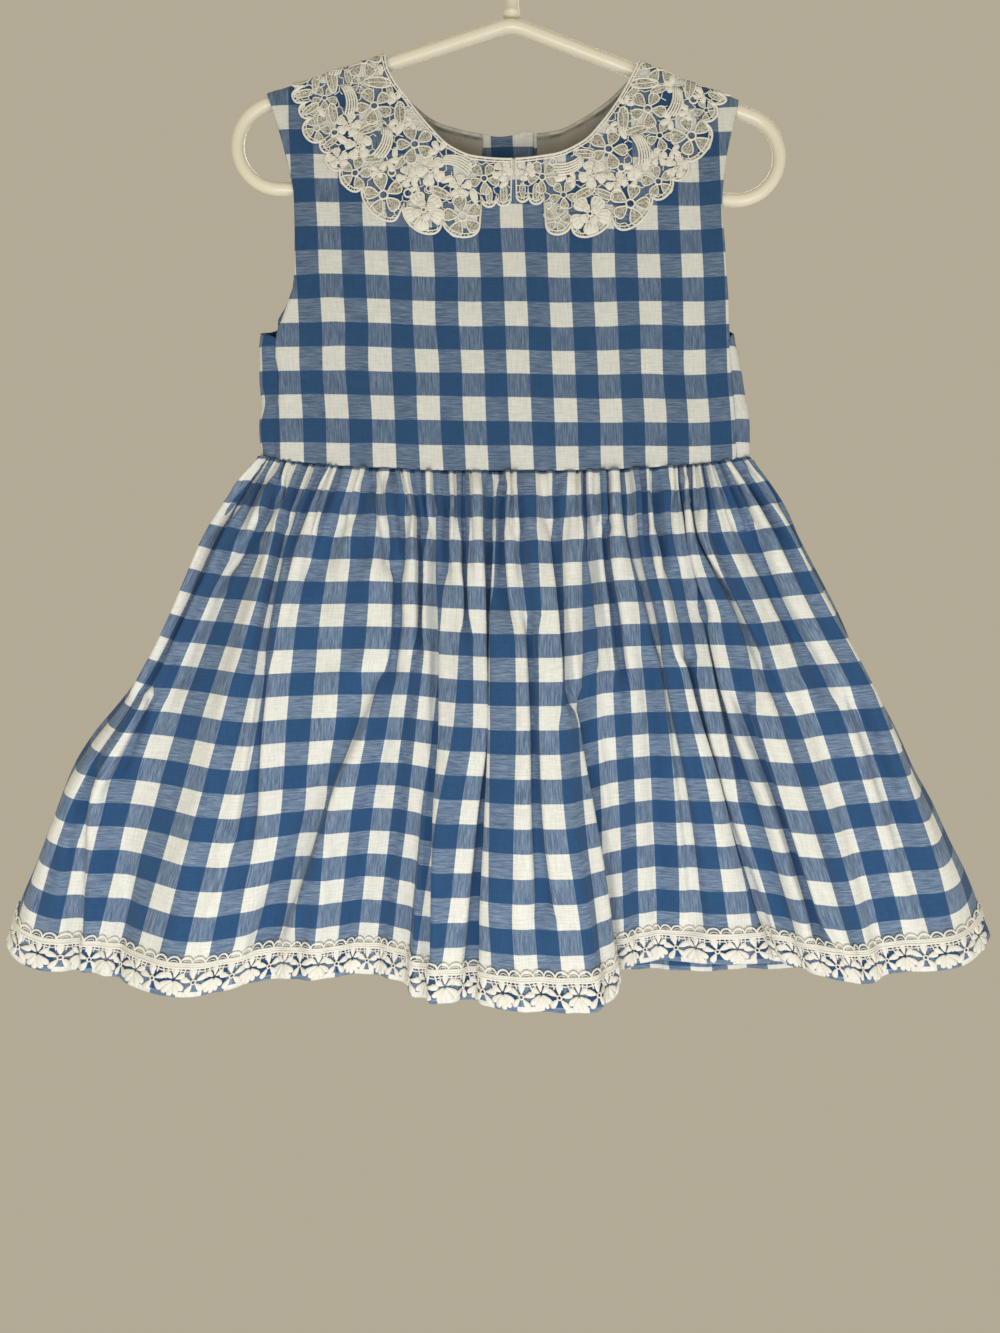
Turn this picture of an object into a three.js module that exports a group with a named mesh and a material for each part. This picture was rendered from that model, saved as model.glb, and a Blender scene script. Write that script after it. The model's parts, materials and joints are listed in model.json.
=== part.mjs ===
// A child's sleeveless gingham dress hanging flat on a white tubular hanger.
// Millimetres, +Z up, the front faces -Y. The origin is the inside top of the hanger's hook,
// where a rail carries it. Cloth walls are built on surfaces: a surface turns two parameters
// into a point of the cloth's middle layer, and a wall is a closed shell between two offsets.

import * as THREE from 'three';

// ---------- driving dimensions ----------

const CLOTH = 1.0;                  // wall of a cloth panel
const LACE = 1.0;                   // wall of a lace panel
const SEAM_GAP = 0.3;               // between pieces that a seam joins
const WAIST_GAP = 0.7;              // and at the waist, where gathers meet a plain edge
const HALF = CLOTH / 2;

const TUBE_RADIUS = 3.6;            // hanger tube
const TUBE_SIDES = 10;
const HANGER_TILT = 1.39 * Math.PI / 180;
const HANGER_APEX = -70;
const HOOK_INNER = 16;              // rail radius the hook takes
const HOOK_RADIUS = HOOK_INNER + TUBE_RADIUS;
const HOOK_ARC = { from: -50, to: 205, steps: 13 };     // degrees round the rail
const HOOK_TIP = 0.75;              // share of the radius left at the hook's tip
const COLLAR_HEIGHT = 4;            // thicker foot of the hook's shank
const COLLAR_EXTRA = 0.9;
const HOOK_CLEARANCE = 0.75;        // between the shank's foot and the bow
const APEX_ROUND = 7;               // where the bow starts to round its top
const LOOP_RADIUS = 23.7;           // centre line of the round ends
const LOOP_X = 123.9;
const LOOP_Z = -139.5;
const ARM_SLOPE = 19.75 * Math.PI / 180;

const SADDLE = TUBE_RADIUS + 0.6 + HALF;   // cloth's middle layer over the tube
const SADDLE_RISE = SADDLE / Math.cos(ARM_SLOPE);
const SADDLE_ARC = SADDLE_RISE * Math.PI / 2;

const CHEST_DEPTH = 10;             // the bodice's half depth below the arms
const DEPTH_REACH = 70;             // distance below the arms where that depth is reached
const ARM_FOLD = 4.8;               // half depth at the armholes
const SIDE_FOLD = 3;                // fold radius at the sides

const WAIST_SIDE = -306;            // waist seam height at the sides
const WAIST_SAG = 9;                // and how much lower it is at the middle
const UNDERARM = -241;

const PLACKET = { left: -15.2, right: 10.1 };   // the backs overlap between these
const PLACKET_BLEND = 15;
const PLACKET_SHIFT = (CLOTH + 0.4) / 2;
const FACING_DEPTH = 48;            // white facing inside the back neck
const FACING_INSET = 0.6;

const SKIRT_SWELL = { left: 11.5, right: 6.5 };   // sideways bulge of the skirt's edges
const SIDE_ROUND = 12;              // cloth that turns the side fold
const SKIRT_EASE = 0.75;
const GATHER_HEIGHT = 1.3;
const HEM_LACE = { top: 23, bottom: 1.5 };      // heights above the hem edge
const SKIRT_LENGTH = 283;

const BUTTON = { radius: 5.25, depth: 2.2, rim: 0.5, x: -2.5, top: -136, step: 50, count: 4 };

// ---------- tables ----------

// Side folds and armhole edges of the bodice, from the shoulder down. "fold" is the garment's
// outline, "front" the front panel's edge and "back" the back panels' edge, all as x.
const LEFT_EDGE = [
  { level: -109, front: -134.0, back: -134.0, fold: -142.0 },
  { level: -118, front: -130.8, back: -131.2, fold: -142.0 },
  { level: -141, front: -124.0, back: -125.0, fold: -141.5 },
  { level: -167, front: -118.9, back: -120.5, fold: -141.0 },
  { level: -190, front: -118.4, back: -120.0, fold: -140.5 },
  { level: -212, front: -119.0, back: -121.5, fold: -140.0 },
  { level: -222, front: -121.8, back: -125.0, fold: -139.5 },
  { level: -231, front: -125.0, back: -129.5, fold: -138.8 },
  { level: UNDERARM, front: -129.2, back: -129.5, fold: -138.0 },
  { level: -253, front: -129.4, back: -129.7, fold: -138.6 },
  { level: -278, front: -129.0, back: -129.3, fold: -137.4 },
  { level: -307, front: -129.2, back: -129.5, fold: -138.0 },
];
const RIGHT_EDGE = [
  { level: -113, front: 121.0, back: 121.0, fold: 131.0 },
  { level: -124, front: 118.5, back: 118.8, fold: 131.0 },
  { level: -145, front: 114.0, back: 115.0, fold: 130.5 },
  { level: -171, front: 111.6, back: 113.4, fold: 129.5 },
  { level: -190, front: 112.9, back: 113.6, fold: 128.5 },
  { level: -212, front: 114.4, back: 115.0, fold: 125.5 },
  { level: -224, front: 115.2, back: 116.0, fold: 122.5 },
  { level: -233, front: 115.6, back: 116.8, fold: 120.3 },
  { level: UNDERARM, front: 115.8, back: 116.1, fold: 119.3 },
  { level: -252, front: 116.8, back: 117.1, fold: 122.0 },
  { level: -262, front: 117.8, back: 118.1, fold: 124.4 },
  { level: -281, front: 119.4, back: 119.7, fold: 126.8 },
  { level: -307, front: 120.0, back: 120.3, fold: 128.2 },
];

// Necklines between the two shoulder points, as x and level.
const FRONT_NECK = [
  { x: -68.5, level: -97.0 },
  { x: -57.6, level: -114.0 },
  { x: -45.0, level: -130.6 },
  { x: -34.5, level: -141.2 },
  { x: -22.0, level: -146.8 },
  { x: -4.0, level: -148.2 },
  { x: 20.0, level: -146.0 },
  { x: 36.0, level: -138.8 },
  { x: 47.4, level: -126.3 },
  { x: 56.7, level: -112.6 },
  { x: 64.5, level: -98.0 },
];
const BACK_NECK = [
  { x: -66.5, level: -97.5 },
  { x: -56.0, level: -111.0 },
  { x: -42.0, level: -121.0 },
  { x: -24.0, level: -125.8 },
  { x: -2.5, level: -127.4 },
  { x: 18.0, level: -125.6 },
  { x: 36.0, level: -119.6 },
  { x: 50.0, level: -110.6 },
  { x: 62.5, level: -98.5 },
];
const NECK_LEFT = -71.1;            // shoulder points of the neckline
const NECK_RIGHT = 68.9;

// The skirt's main folds. "cloth" is the place across the cut, "waist" and "hem" are x at the
// two ends of the fold line, "depth" is y at the hem, and "low" the height of the hem edge.
const FRONT_FOLDS = [
  { cloth: 0, waist: -138.0, hem: -274, depth: -9, low: -565 },
  { cloth: 36, waist: -133.0, hem: -231, depth: -24, low: -579 },
  { cloth: 66, waist: -123.5, hem: -209, depth: -18, low: -581 },
  { cloth: 124, waist: -98.5, hem: -165, depth: -39, low: -589 },
  { cloth: 165, waist: -79.0, hem: -129, depth: -26, low: -584 },
  { cloth: 192, waist: -65.0, hem: -107, depth: -34, low: -581 },
  { cloth: 241, waist: -43.0, hem: -69, depth: -27, low: -580 },
  { cloth: 296, waist: -17.5, hem: -41, depth: -48, low: -588 },
  { cloth: 334, waist: -2.5, hem: -17, depth: -42, low: -590 },
  { cloth: 362, waist: 10.0, hem: 3, depth: -57, low: -591 },
  { cloth: 392, waist: 18.5, hem: 30, depth: -55, low: -591 },
  { cloth: 418, waist: 31.0, hem: 47, depth: -50, low: -588 },
  { cloth: 446, waist: 41.5, hem: 55, depth: -25, low: -578 },
  { cloth: 480, waist: 54.5, hem: 75, depth: -20, low: -575 },
  { cloth: 510, waist: 64.0, hem: 98, depth: -27, low: -575 },
  { cloth: 545, waist: 77.0, hem: 124, depth: -20, low: -576 },
  { cloth: 592, waist: 90.0, hem: 155, depth: -34, low: -580 },
  { cloth: 620, waist: 99.0, hem: 175, depth: -37, low: -583 },
  { cloth: 645, waist: 109.0, hem: 189, depth: -27, low: -579 },
  { cloth: 675, waist: 119.0, hem: 211, depth: -27, low: -577 },
  { cloth: 705, waist: 128.2, hem: 258, depth: -9, low: -565 },
];
const BACK_FOLDS = [
  { cloth: 0, waist: -138.0, hem: -274, depth: 9, low: -565 },
  { cloth: 34, waist: -131.0, hem: -236, depth: 22, low: -578 },
  { cloth: 78, waist: -116.0, hem: -205, depth: 15, low: -582 },
  { cloth: 118, waist: -101.0, hem: -172, depth: 31, low: -588 },
  { cloth: 162, waist: -83.0, hem: -142, depth: 20, low: -589 },
  { cloth: 204, waist: -66.0, hem: -110, depth: 37, low: -593 },
  { cloth: 252, waist: -47.0, hem: -78, depth: 24, low: -592 },
  { cloth: 288, waist: -32.0, hem: -52, depth: 40, low: -596 },
  { cloth: 340, waist: -12.0, hem: -19, depth: 27, low: -595 },
  { cloth: 386, waist: 6.0, hem: 12, depth: 42, low: -597 },
  { cloth: 424, waist: 21.0, hem: 38, depth: 25, low: -596 },
  { cloth: 470, waist: 39.0, hem: 69, depth: 38, low: -594 },
  { cloth: 508, waist: 54.0, hem: 96, depth: 24, low: -592 },
  { cloth: 556, waist: 73.0, hem: 131, depth: 35, low: -594 },
  { cloth: 596, waist: 88.0, hem: 162, depth: 20, low: -588 },
  { cloth: 636, waist: 105.0, hem: 193, depth: 28, low: -582 },
  { cloth: 672, waist: 119.0, hem: 220, depth: 17, low: -577 },
  { cloth: 705, waist: 128.2, hem: 258, depth: 9, low: -565 },
];

// Near the sides the back skirt's gathers bulge out past the front: "at" and "spread" place
// the bulge between waist (0) and hem (1), "by" is how far it stands out.
const FLARES = {
  left: { at: 0.2, spread: 0.075, by: 11 },
  right: { at: 0.12, spread: 0.06, by: 5 },
};
const FLARE_CLOTH = 34;             // cloth from the seam that the bulge takes up

// The lace collar, from centre front (0) over the shoulder (SHOULDER_SHARE) to centre back (1):
// "turn" leads it from straight down (0) to along the shoulder (1), "reach" is its width.
const SHOULDER_SHARE = 0.54;
const COLLAR = [
  { share: 0.00, turn: 0.02, reach: 26 },
  { share: 0.06, turn: 0.06, reach: 28 },
  { share: 0.09, turn: 0.12, reach: 43 },
  { share: 0.16, turn: 0.30, reach: 48 },
  { share: 0.28, turn: 0.60, reach: 55 },
  { share: 0.38, turn: 0.84, reach: 54 },
  { share: 0.46, turn: 1.00, reach: 52 },
  { share: 0.62, turn: 1.00, reach: 52 },
  { share: 0.72, turn: 0.70, reach: 49 },
  { share: 0.84, turn: 0.38, reach: 47 },
  { share: 0.94, turn: 0.10, reach: 42 },
  { share: 1.00, turn: 0.03, reach: 28 },
];
const COLLAR_ENDS = {                // x of the two halves' ends
  '-1': { front: -1.6, back: -17.5 },
  1: { front: 0.4, back: 12.5 },
};
const SCALLOP = 3;                  // how far the outer edge's scallops stand out
const NECK_STRAIGHT = 0.8;          // share of a neckline half that its table covers
const SADDLE_START = 0.868;         // share where the saddle over the tube begins

// ---------- small maths ----------

const clamp = (value, low, high) => Math.min(high, Math.max(low, value));
const smooth = (value) => {
  const t = clamp(value, 0, 1);
  return t * t * (3 - 2 * t);
};
const spread = (count, from = 0, to = 1) =>
  Array.from({ length: count }, (_, i) => from + (to - from) * i / (count - 1));

// Reads one column of a table at a key, with a smooth curve that never overshoots its rows.
function lookUp(table, key, column, at) {
  const rising = table[1][key] > table[0][key] ? 1 : -1;
  const last = table.length - 2;
  let i = 0;
  while (i < last && (at - table[i + 1][key]) * rising > 0) i += 1;
  const slope = (j) => {
    if (j < 0 || j > last) return null;
    return (table[j + 1][column] - table[j][column]) / (table[j + 1][key] - table[j][key]);
  };
  const here = slope(i);
  const blend = (other) => {
    if (other === null) return here;
    return other * here > 0 ? 2 * other * here / (other + here) : 0;
  };
  const width = table[i + 1][key] - table[i][key];
  const t = clamp((at - table[i][key]) / width, 0, 1);
  const start = blend(slope(i - 1)) * width;
  const end = blend(slope(i + 1)) * width;
  const a = table[i][column];
  const b = table[i + 1][column];
  const t2 = t * t;
  const t3 = t2 * t;
  return (2 * t3 - 3 * t2 + 1) * a + (t3 - 2 * t2 + t) * start
    + (3 * t2 - 2 * t3) * b + (t3 - t2) * end;
}

// ---------- closed solids ----------

function meshOf(name, positions, triangles, material) {
  const geometry = new THREE.BufferGeometry();
  geometry.setAttribute('position', new THREE.Float32BufferAttribute(positions, 3));
  geometry.setIndex(triangles);
  geometry.computeVertexNormals();
  const mesh = new THREE.Mesh(geometry, material);
  mesh.name = name;
  return mesh;
}

function signedVolume(points, triangles) {
  let volume = 0;
  for (let i = 0; i < triangles.length; i += 3) {
    const [a, b, c] = triangles.slice(i, i + 3).map((k) => points[k]);
    volume += a.dot(new THREE.Vector3().crossVectors(b, c)) / 6;
  }
  return volume;
}

function solid(name, points, triangles, material) {
  const outward = signedVolume(points, triangles) > 0;
  const faces = [];
  for (let i = 0; i < triangles.length; i += 3) {
    const [a, b, c] = triangles.slice(i, i + 3);
    faces.push(a, outward ? b : c, outward ? c : b);
  }
  return meshOf(name, points.flatMap((p) => [p.x, p.y, p.z]), faces, material);
}

// A wall on surface(u, v), between two offsets along its normal. "outward" says, for a point,
// roughly which way is out, so that the offsets count the same way on every panel.
function wall(name, surface, us, vs, from, to, outward, material) {
  const step = 1e-4;
  const points = [];
  for (const offset of [from, to]) {
    for (const v of vs) {
      for (const u of us) {
        const point = surface(u, v);
        const du = step * (us[us.length - 1] - us[0]);
        const dv = step * (vs[vs.length - 1] - vs[0]);
        const sideU = u + du > us[us.length - 1] ? -1 : 1;
        const sideV = v + dv > vs[vs.length - 1] ? -1 : 1;
        const alongU = surface(u + sideU * du, v).sub(point).multiplyScalar(sideU);
        const alongV = surface(u, v + sideV * dv).sub(point).multiplyScalar(sideV);
        const normal = new THREE.Vector3().crossVectors(alongU, alongV).normalize();
        if (normal.dot(outward(point)) < 0) normal.negate();
        points.push(point.addScaledVector(normal, offset));
      }
    }
  }
  const width = us.length;
  const height = vs.length;
  const layer = width * height;
  const at = (level, row, column) => level * layer + row * width + column;
  const triangles = [];
  const quad = (a, b, c, d) => triangles.push(a, b, c, a, c, d);
  for (let row = 0; row < height - 1; row += 1) {
    for (let column = 0; column < width - 1; column += 1) {
      quad(at(1, row, column), at(1, row, column + 1),
        at(1, row + 1, column + 1), at(1, row + 1, column));
      quad(at(0, row, column), at(0, row + 1, column),
        at(0, row + 1, column + 1), at(0, row, column + 1));
    }
  }
  for (let column = 0; column < width - 1; column += 1) {
    const end = height - 1;
    quad(at(0, 0, column), at(0, 0, column + 1), at(1, 0, column + 1), at(1, 0, column));
    quad(at(1, end, column), at(1, end, column + 1),
      at(0, end, column + 1), at(0, end, column));
  }
  for (let row = 0; row < height - 1; row += 1) {
    const end = width - 1;
    quad(at(1, row, 0), at(1, row + 1, 0), at(0, row + 1, 0), at(0, row, 0));
    quad(at(0, row, end), at(0, row + 1, end), at(1, row + 1, end), at(1, row, end));
  }
  return solid(name, points, triangles, material);
}

// A round tube along a path in the XZ plane, with a radius for each point.
function tube(name, path, radii, closed, material) {
  const count = path.length;
  const points = [];
  path.forEach((centre, i) => {
    const before = path[closed ? (i + count - 1) % count : Math.max(i - 1, 0)];
    const after = path[closed ? (i + 1) % count : Math.min(i + 1, count - 1)];
    const along = new THREE.Vector3().subVectors(after, before).normalize();
    const across = new THREE.Vector3(-along.z, 0, along.x);
    for (let side = 0; side < TUBE_SIDES; side += 1) {
      const angle = 2 * Math.PI * side / TUBE_SIDES;
      points.push(centre.clone()
        .addScaledVector(across, radii[i] * Math.cos(angle))
        .add(new THREE.Vector3(0, radii[i] * Math.sin(angle), 0)));
    }
  });
  const triangles = [];
  const at = (ring, side) => (ring % count) * TUBE_SIDES + side % TUBE_SIDES;
  const rings = closed ? count : count - 1;
  for (let ring = 0; ring < rings; ring += 1) {
    for (let side = 0; side < TUBE_SIDES; side += 1) {
      triangles.push(at(ring, side), at(ring, side + 1), at(ring + 1, side + 1));
      triangles.push(at(ring, side), at(ring + 1, side + 1), at(ring + 1, side));
    }
  }
  if (!closed) {
    for (const [ring, flip] of [[0, false], [count - 1, true]]) {
      for (let side = 1; side < TUBE_SIDES - 1; side += 1) {
        const a = at(ring, 0);
        const b = at(ring, side);
        const c = at(ring, side + 1);
        triangles.push(a, flip ? b : c, flip ? c : b);
      }
    }
  }
  return solid(name, points, triangles, material);
}

// ---------- materials ----------

const finish = (color, roughness) =>
  new THREE.MeshStandardMaterial({ color, roughness, metalness: 0 });
const GINGHAM = finish(0x5f86b4, 0.85);
const WHITE_LACE = finish(0xece6d6, 0.8);
const WHITE_COTTON = finish(0xe9e3d5, 0.85);
const WHITE_PLASTIC = finish(0xf1ede4, 0.3);
const PEARL = finish(0xeee9dd, 0.35);

// ---------- hanger ----------

const tilted = (x, z) => new THREE.Vector3(
  x * Math.cos(HANGER_TILT) + z * Math.sin(HANGER_TILT), 0,
  -x * Math.sin(HANGER_TILT) + z * Math.cos(HANGER_TILT));

function hangerBow() {
  const path = [];
  const tangent = {
    x: LOOP_X + LOOP_RADIUS * Math.sin(ARM_SLOPE),
    z: LOOP_Z + LOOP_RADIUS * Math.cos(ARM_SLOPE),
  };
  const loopSteps = 12;
  const sweep = Math.PI - ARM_SLOPE;
  path.push([0, HANGER_APEX]);
  path.push([APEX_ROUND, HANGER_APEX - APEX_ROUND * Math.tan(ARM_SLOPE)]);
  path.push([tangent.x / 2, (HANGER_APEX + tangent.z) / 2]);
  for (let i = 0; i <= loopSteps; i += 1) {
    const angle = Math.PI / 2 - ARM_SLOPE - sweep * i / loopSteps;
    path.push([LOOP_X + LOOP_RADIUS * Math.cos(angle), LOOP_Z + LOOP_RADIUS * Math.sin(angle)]);
  }
  path.push([0, LOOP_Z - LOOP_RADIUS]);
  const right = path.map(([x, z]) => tilted(x, z));
  const left = path.slice(1, -1).reverse().map(([x, z]) => tilted(-x, z));
  const ring = [...right, ...left];
  return tube('hanger_bow', ring, ring.map(() => TUBE_RADIUS), true, WHITE_PLASTIC);
}

// The hook's shank between its foot and the arc, as x and z.
const SHANK = [[0, -56], [0.6, -47], [3.6, -38.5], [8, -34.2]];

function hangerHook() {
  const seat = HANGER_APEX + TUBE_RADIUS + HOOK_CLEARANCE;
  const arc = spread(HOOK_ARC.steps, HOOK_ARC.from, HOOK_ARC.to).map((degrees) => {
    const angle = degrees * Math.PI / 180;
    return [HOOK_RADIUS * Math.cos(angle), -HOOK_INNER + HOOK_RADIUS * Math.sin(angle)];
  });
  const path = [
    [0, seat], [0, seat + COLLAR_HEIGHT - 1.5], [0, seat + COLLAR_HEIGHT], ...SHANK, ...arc,
  ].map(([x, z]) => tilted(x, z));
  const radii = path.map((_, i) => (i < 2 ? TUBE_RADIUS + COLLAR_EXTRA : TUBE_RADIUS));
  radii[path.length - 1] = TUBE_RADIUS * HOOK_TIP;
  return tube('hanger_hook', path, radii, false, WHITE_PLASTIC);
}

// Height of the hanger arm's axis under x.
function armHeight(x) {
  const apex = tilted(0, HANGER_APEX);
  const slope = x < apex.x ? ARM_SLOPE - HANGER_TILT : ARM_SLOPE + HANGER_TILT;
  return apex.z - Math.abs(x - apex.x) * Math.tan(slope);
}

// ---------- bodice ----------

const ridge = (x) => armHeight(x) + SADDLE_ARC;
const WAIST = { centre: -4.9, half: 133.1 };
const waistHeight = (x) => WAIST_SIDE
  - WAIST_SAG * (1 - Math.min(1, Math.abs((x - WAIST.centre) / WAIST.half)) ** 2.5);

// The bodice's section at a level: its centre, its straight half width and its fold radius.
function section(level) {
  const left = lookUp(LEFT_EDGE, 'level', 'fold', level);
  const right = lookUp(RIGHT_EDGE, 'level', 'fold', level);
  const fold = SIDE_FOLD + (ARM_FOLD - SIDE_FOLD) * smooth((level - UNDERARM + 25) / 30);
  return { centre: (left + right) / 2, half: (right - left) / 2 - fold, fold };
}

// A point of the bodice's middle layer. "girth" runs sideways from the section's centre and
// turns round the side fold, "level" is the height along the cloth, which turns over the
// hanger's arm above the arm's axis, and side is -1 for the front or 1 for the back.
function bodice(girth, level, side, lift = 0) {
  const { centre, half, fold } = section(level);
  const reach = Math.abs(girth);
  const hand = Math.sign(girth) || 1;
  const turn = (reach - half) / fold;
  let across = girth;
  let facing = side;
  let edge = 1;
  if (turn > Math.PI) {
    across = hand * (half - (reach - half - Math.PI * fold));
    facing = -side;
  } else if (turn > 0) {
    across = hand * (half + fold * Math.sin(turn));
    edge = Math.cos(turn);
  }
  const x = centre + across;
  const below = armHeight(x) - level;
  const depth = ARM_FOLD + (CHEST_DEPTH - ARM_FOLD) * smooth(below / DEPTH_REACH);
  const bulge = (1 - Math.min(1, Math.abs(across) / half) ** 3) ** 2;
  const flat = Math.min(fold, depth) + (depth - Math.min(fold, depth)) * bulge;
  const y = facing * (flat * edge + lift);
  if (below >= 0) return new THREE.Vector3(x, y, level);
  const angle = -below / SADDLE_RISE;
  return new THREE.Vector3(x, y * Math.cos(angle),
    armHeight(x) + (SADDLE_RISE + lift) * Math.sin(angle));
}

const NECKS = { '-1': FRONT_NECK, 1: BACK_NECK };

// The top edge of a panel at x: the shoulder's ridge, or the neckline between the shoulders.
function topEdge(x, side) {
  if (x <= NECK_LEFT || x >= NECK_RIGHT) return ridge(x);
  const rows = [
    { x: NECK_LEFT, level: ridge(NECK_LEFT) },
    ...NECKS[side],
    { x: NECK_RIGHT, level: ridge(NECK_RIGHT) },
  ];
  return lookUp(rows, 'x', 'level', x);
}

const SEAM_ANGLE = SEAM_GAP / 2 / SADDLE;

// A panel between two edges, each a girth that depends on the level. u goes across from edge
// to edge. v goes down: 0 to 1 over the shoulder's saddle, 1 to 2 from there to the waist.
function panel(side, edgeA, edgeB, lift = () => 0) {
  return (u, v) => {
    let level = ridge(-100);
    let girth = 0;
    for (let i = 0; i < 24; i += 1) {
      girth = edgeA(level) + (edgeB(level) - edgeA(level)) * u;
      const x = section(level).centre + girth;
      level = topEdge(clamp(x, LEFT_EDGE[0].front, RIGHT_EDGE[0].front), side);
      if (x <= NECK_LEFT || x >= NECK_RIGHT) level -= SEAM_ANGLE * SADDLE_RISE;
    }
    const top = level;
    const foot = edgeA(WAIST_SIDE) + (edgeB(WAIST_SIDE) - edgeA(WAIST_SIDE)) * u;
    const { x } = bodice(foot, WAIST_SIDE, side);
    const saddleEnd = top - SADDLE_ARC;
    level = v < 1 ? top - SADDLE_ARC * v
      : saddleEnd + (waistHeight(x) - saddleEnd) * (v - 1);
    girth = edgeA(level) + (edgeB(level) - edgeA(level)) * u;
    return bodice(girth, level, side, lift(section(level).centre + girth));
  };
}

const PANEL_ROWS = [0, 0.34, 0.67, 1, 1.05, 1.12, 1.2, 1.29, 1.38, 1.46, 1.54, 1.6, 1.66,
  1.73, 1.82, 1.91, 2];
// Roughly outwards on a front or back panel: up at the shoulders, sideways at the side folds.
const FOLDS_START = { left: -136, right: 119 };
const away = (side) => ({ x }) => {
  const sideways = (x > FOLDS_START.right ? 0.2 : 0) - (x < FOLDS_START.left ? 0.2 : 0);
  return new THREE.Vector3(sideways, side, 0.4);
};

const frontEdge = (table) => (level) =>
  lookUp(table, 'level', 'front', level) - section(level).centre;

// Columns for a panel: x where each leaves the top edge, with close ones round the corner
// from the shoulder into the neckline, where the edge drops over the saddle.
const CORNER = { columns: 7, crowding: 1.3 };

function cornerMarks(side, hand) {
  const rows = NECKS[side];
  const foot = hand < 0 ? rows[0].x : rows[rows.length - 1].x;
  const corner = hand < 0 ? NECK_LEFT : NECK_RIGHT;
  return spread(CORNER.columns)
    .map((part) => corner + (foot - corner) * part ** CORNER.crowding);
}

const shares = (marks) => marks.map((x) => (x - marks[0]) / (marks[marks.length - 1] - marks[0]));

function bodiceFront() {
  const surface = panel(-1, frontEdge(LEFT_EDGE), frontEdge(RIGHT_EDGE));
  const marks = [
    LEFT_EDGE[0].front, -118, -103, -87, ...cornerMarks(-1, -1), -62, -53, -44, -34, -22, -6,
    10, 24, 36, 46, 55, ...cornerMarks(-1, 1).reverse(), 86, 104, RIGHT_EDGE[0].front,
  ];
  return wall('bodice_front', surface, shares(marks), PANEL_ROWS, -HALF, HALF, away(-1),
    GINGHAM);
}

// The back panels' side edges run down the armhole, round the side fold and on down the seam.
function backEdge(table, hand) {
  const turnStart = UNDERARM + 10;
  return (level) => {
    const { centre, half, fold } = section(level);
    const straight = Math.abs(lookUp(table, 'level', 'back', level) - centre);
    const wrapped = 2 * half + Math.PI * fold - straight;
    const turned = clamp((turnStart - level) / (turnStart - UNDERARM), 0, 1);
    return hand * (straight + (wrapped - straight) * turned);
  };
}

const centreEdge = (x) => (level) => x - section(level).centre;

// How far a back panel is set in or out where the two overlap at the centre.
const placketLift = (hand) => (x) => {
  const beyond = hand < 0 ? PLACKET.left - x : x - PLACKET.right;
  return hand * PLACKET_SHIFT * (1 - smooth(beyond / PLACKET_BLEND));
};

function bodiceBack(hand) {
  const left = hand < 0;
  const inner = centreEdge(left ? PLACKET.right : PLACKET.left);
  const outer = backEdge(left ? LEFT_EDGE : RIGHT_EDGE, hand);
  const surface = panel(1, inner, outer, placketLift(hand));
  const marks = left
    ? [PLACKET.right, -4, -16, -26, -38, -50, -60]
    : [PLACKET.left, -2, 10, 21, 33, 45, 55];
  const shoulder = left
    ? [-85, -102, -120, -128, -132, LEFT_EDGE[0].back]
    : [84, 98, 109, 115, 119, RIGHT_EDGE[0].back];
  const columns = [...marks, ...cornerMarks(1, hand).reverse(), ...shoulder];
  return wall(`bodice_back_${left ? 'left' : 'right'}`, surface, shares(columns), PANEL_ROWS,
    -HALF, HALF, away(1), GINGHAM);
}

function buttons() {
  const { radius, depth, rim, x } = BUTTON;
  const profile = [
    [0, 0], [radius - rim, 0], [radius, rim], [radius, depth - rim], [radius - rim, depth],
    [radius * 0.66, depth], [radius * 0.55, depth - rim], [0, depth - rim],
  ].map(([r, h]) => new THREE.Vector2(r, h));
  return Array.from({ length: BUTTON.count }, (_, i) => {
    const button = new THREE.Mesh(new THREE.LatheGeometry(profile, 14), PEARL);
    const level = BUTTON.top - BUTTON.step * i;
    const under = bodice(x - section(level).centre, level, 1, PLACKET_SHIFT).y;
    button.name = `button_${i + 1}`;
    button.position.set(x, under + HALF + SEAM_GAP, level);
    return button;
  });
}

// ---------- collar and neck facing ----------

// A neckline half from its end near the centre (0) to the shoulder point (1).
function neckPoint(hand, side, share) {
  const ends = COLLAR_ENDS[hand];
  const start = side < 0 ? ends.front : ends.back;
  const rows = NECKS[side];
  const last = hand < 0 ? rows[0] : rows[rows.length - 1];
  const corner = hand < 0 ? NECK_LEFT : NECK_RIGHT;
  if (share <= NECK_STRAIGHT) {
    const x = start + (last.x - start) * Math.sin(Math.PI / 2 * share / NECK_STRAIGHT);
    return { x, level: topEdge(x, side) };
  }
  const rise = (share - NECK_STRAIGHT) / (1 - NECK_STRAIGHT);
  return {
    x: last.x + (corner - last.x) * rise,
    level: last.level + (ridge(corner) - last.level) * rise,
  };
}

// The collar half: u is the share along the neckline, v goes from the neck edge outwards.
function collarSurface(hand) {
  const slope = hand < 0 ? ARM_SLOPE - HANGER_TILT : ARM_SLOPE + HANGER_TILT;
  return (u, v) => {
    const side = u <= SHOULDER_SHARE ? -1 : 1;
    const part = side < 0 ? u / SHOULDER_SHARE : (1 - u) / (1 - SHOULDER_SHARE);
    const start = neckPoint(hand, side, part);
    const lean = lookUp(COLLAR, 'share', 'turn', u) * (Math.PI / 2 - slope);
    const reach = lookUp(COLLAR, 'share', 'reach', u) * v;
    const x = start.x + hand * reach * Math.sin(lean);
    const level = start.level - reach * Math.cos(lean);
    const lift = side > 0 ? placketLift(hand)(x) : 0;
    return bodice(x - section(level).centre, level, side, lift);
  };
}

const HALF_SHARES = [0, 0.06, 0.11, 0.165, 0.225, 0.3, 0.38, 0.46, 0.54, 0.62, 0.71,
  NECK_STRAIGHT, SADDLE_START, 0.912, 0.956, 1];

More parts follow.
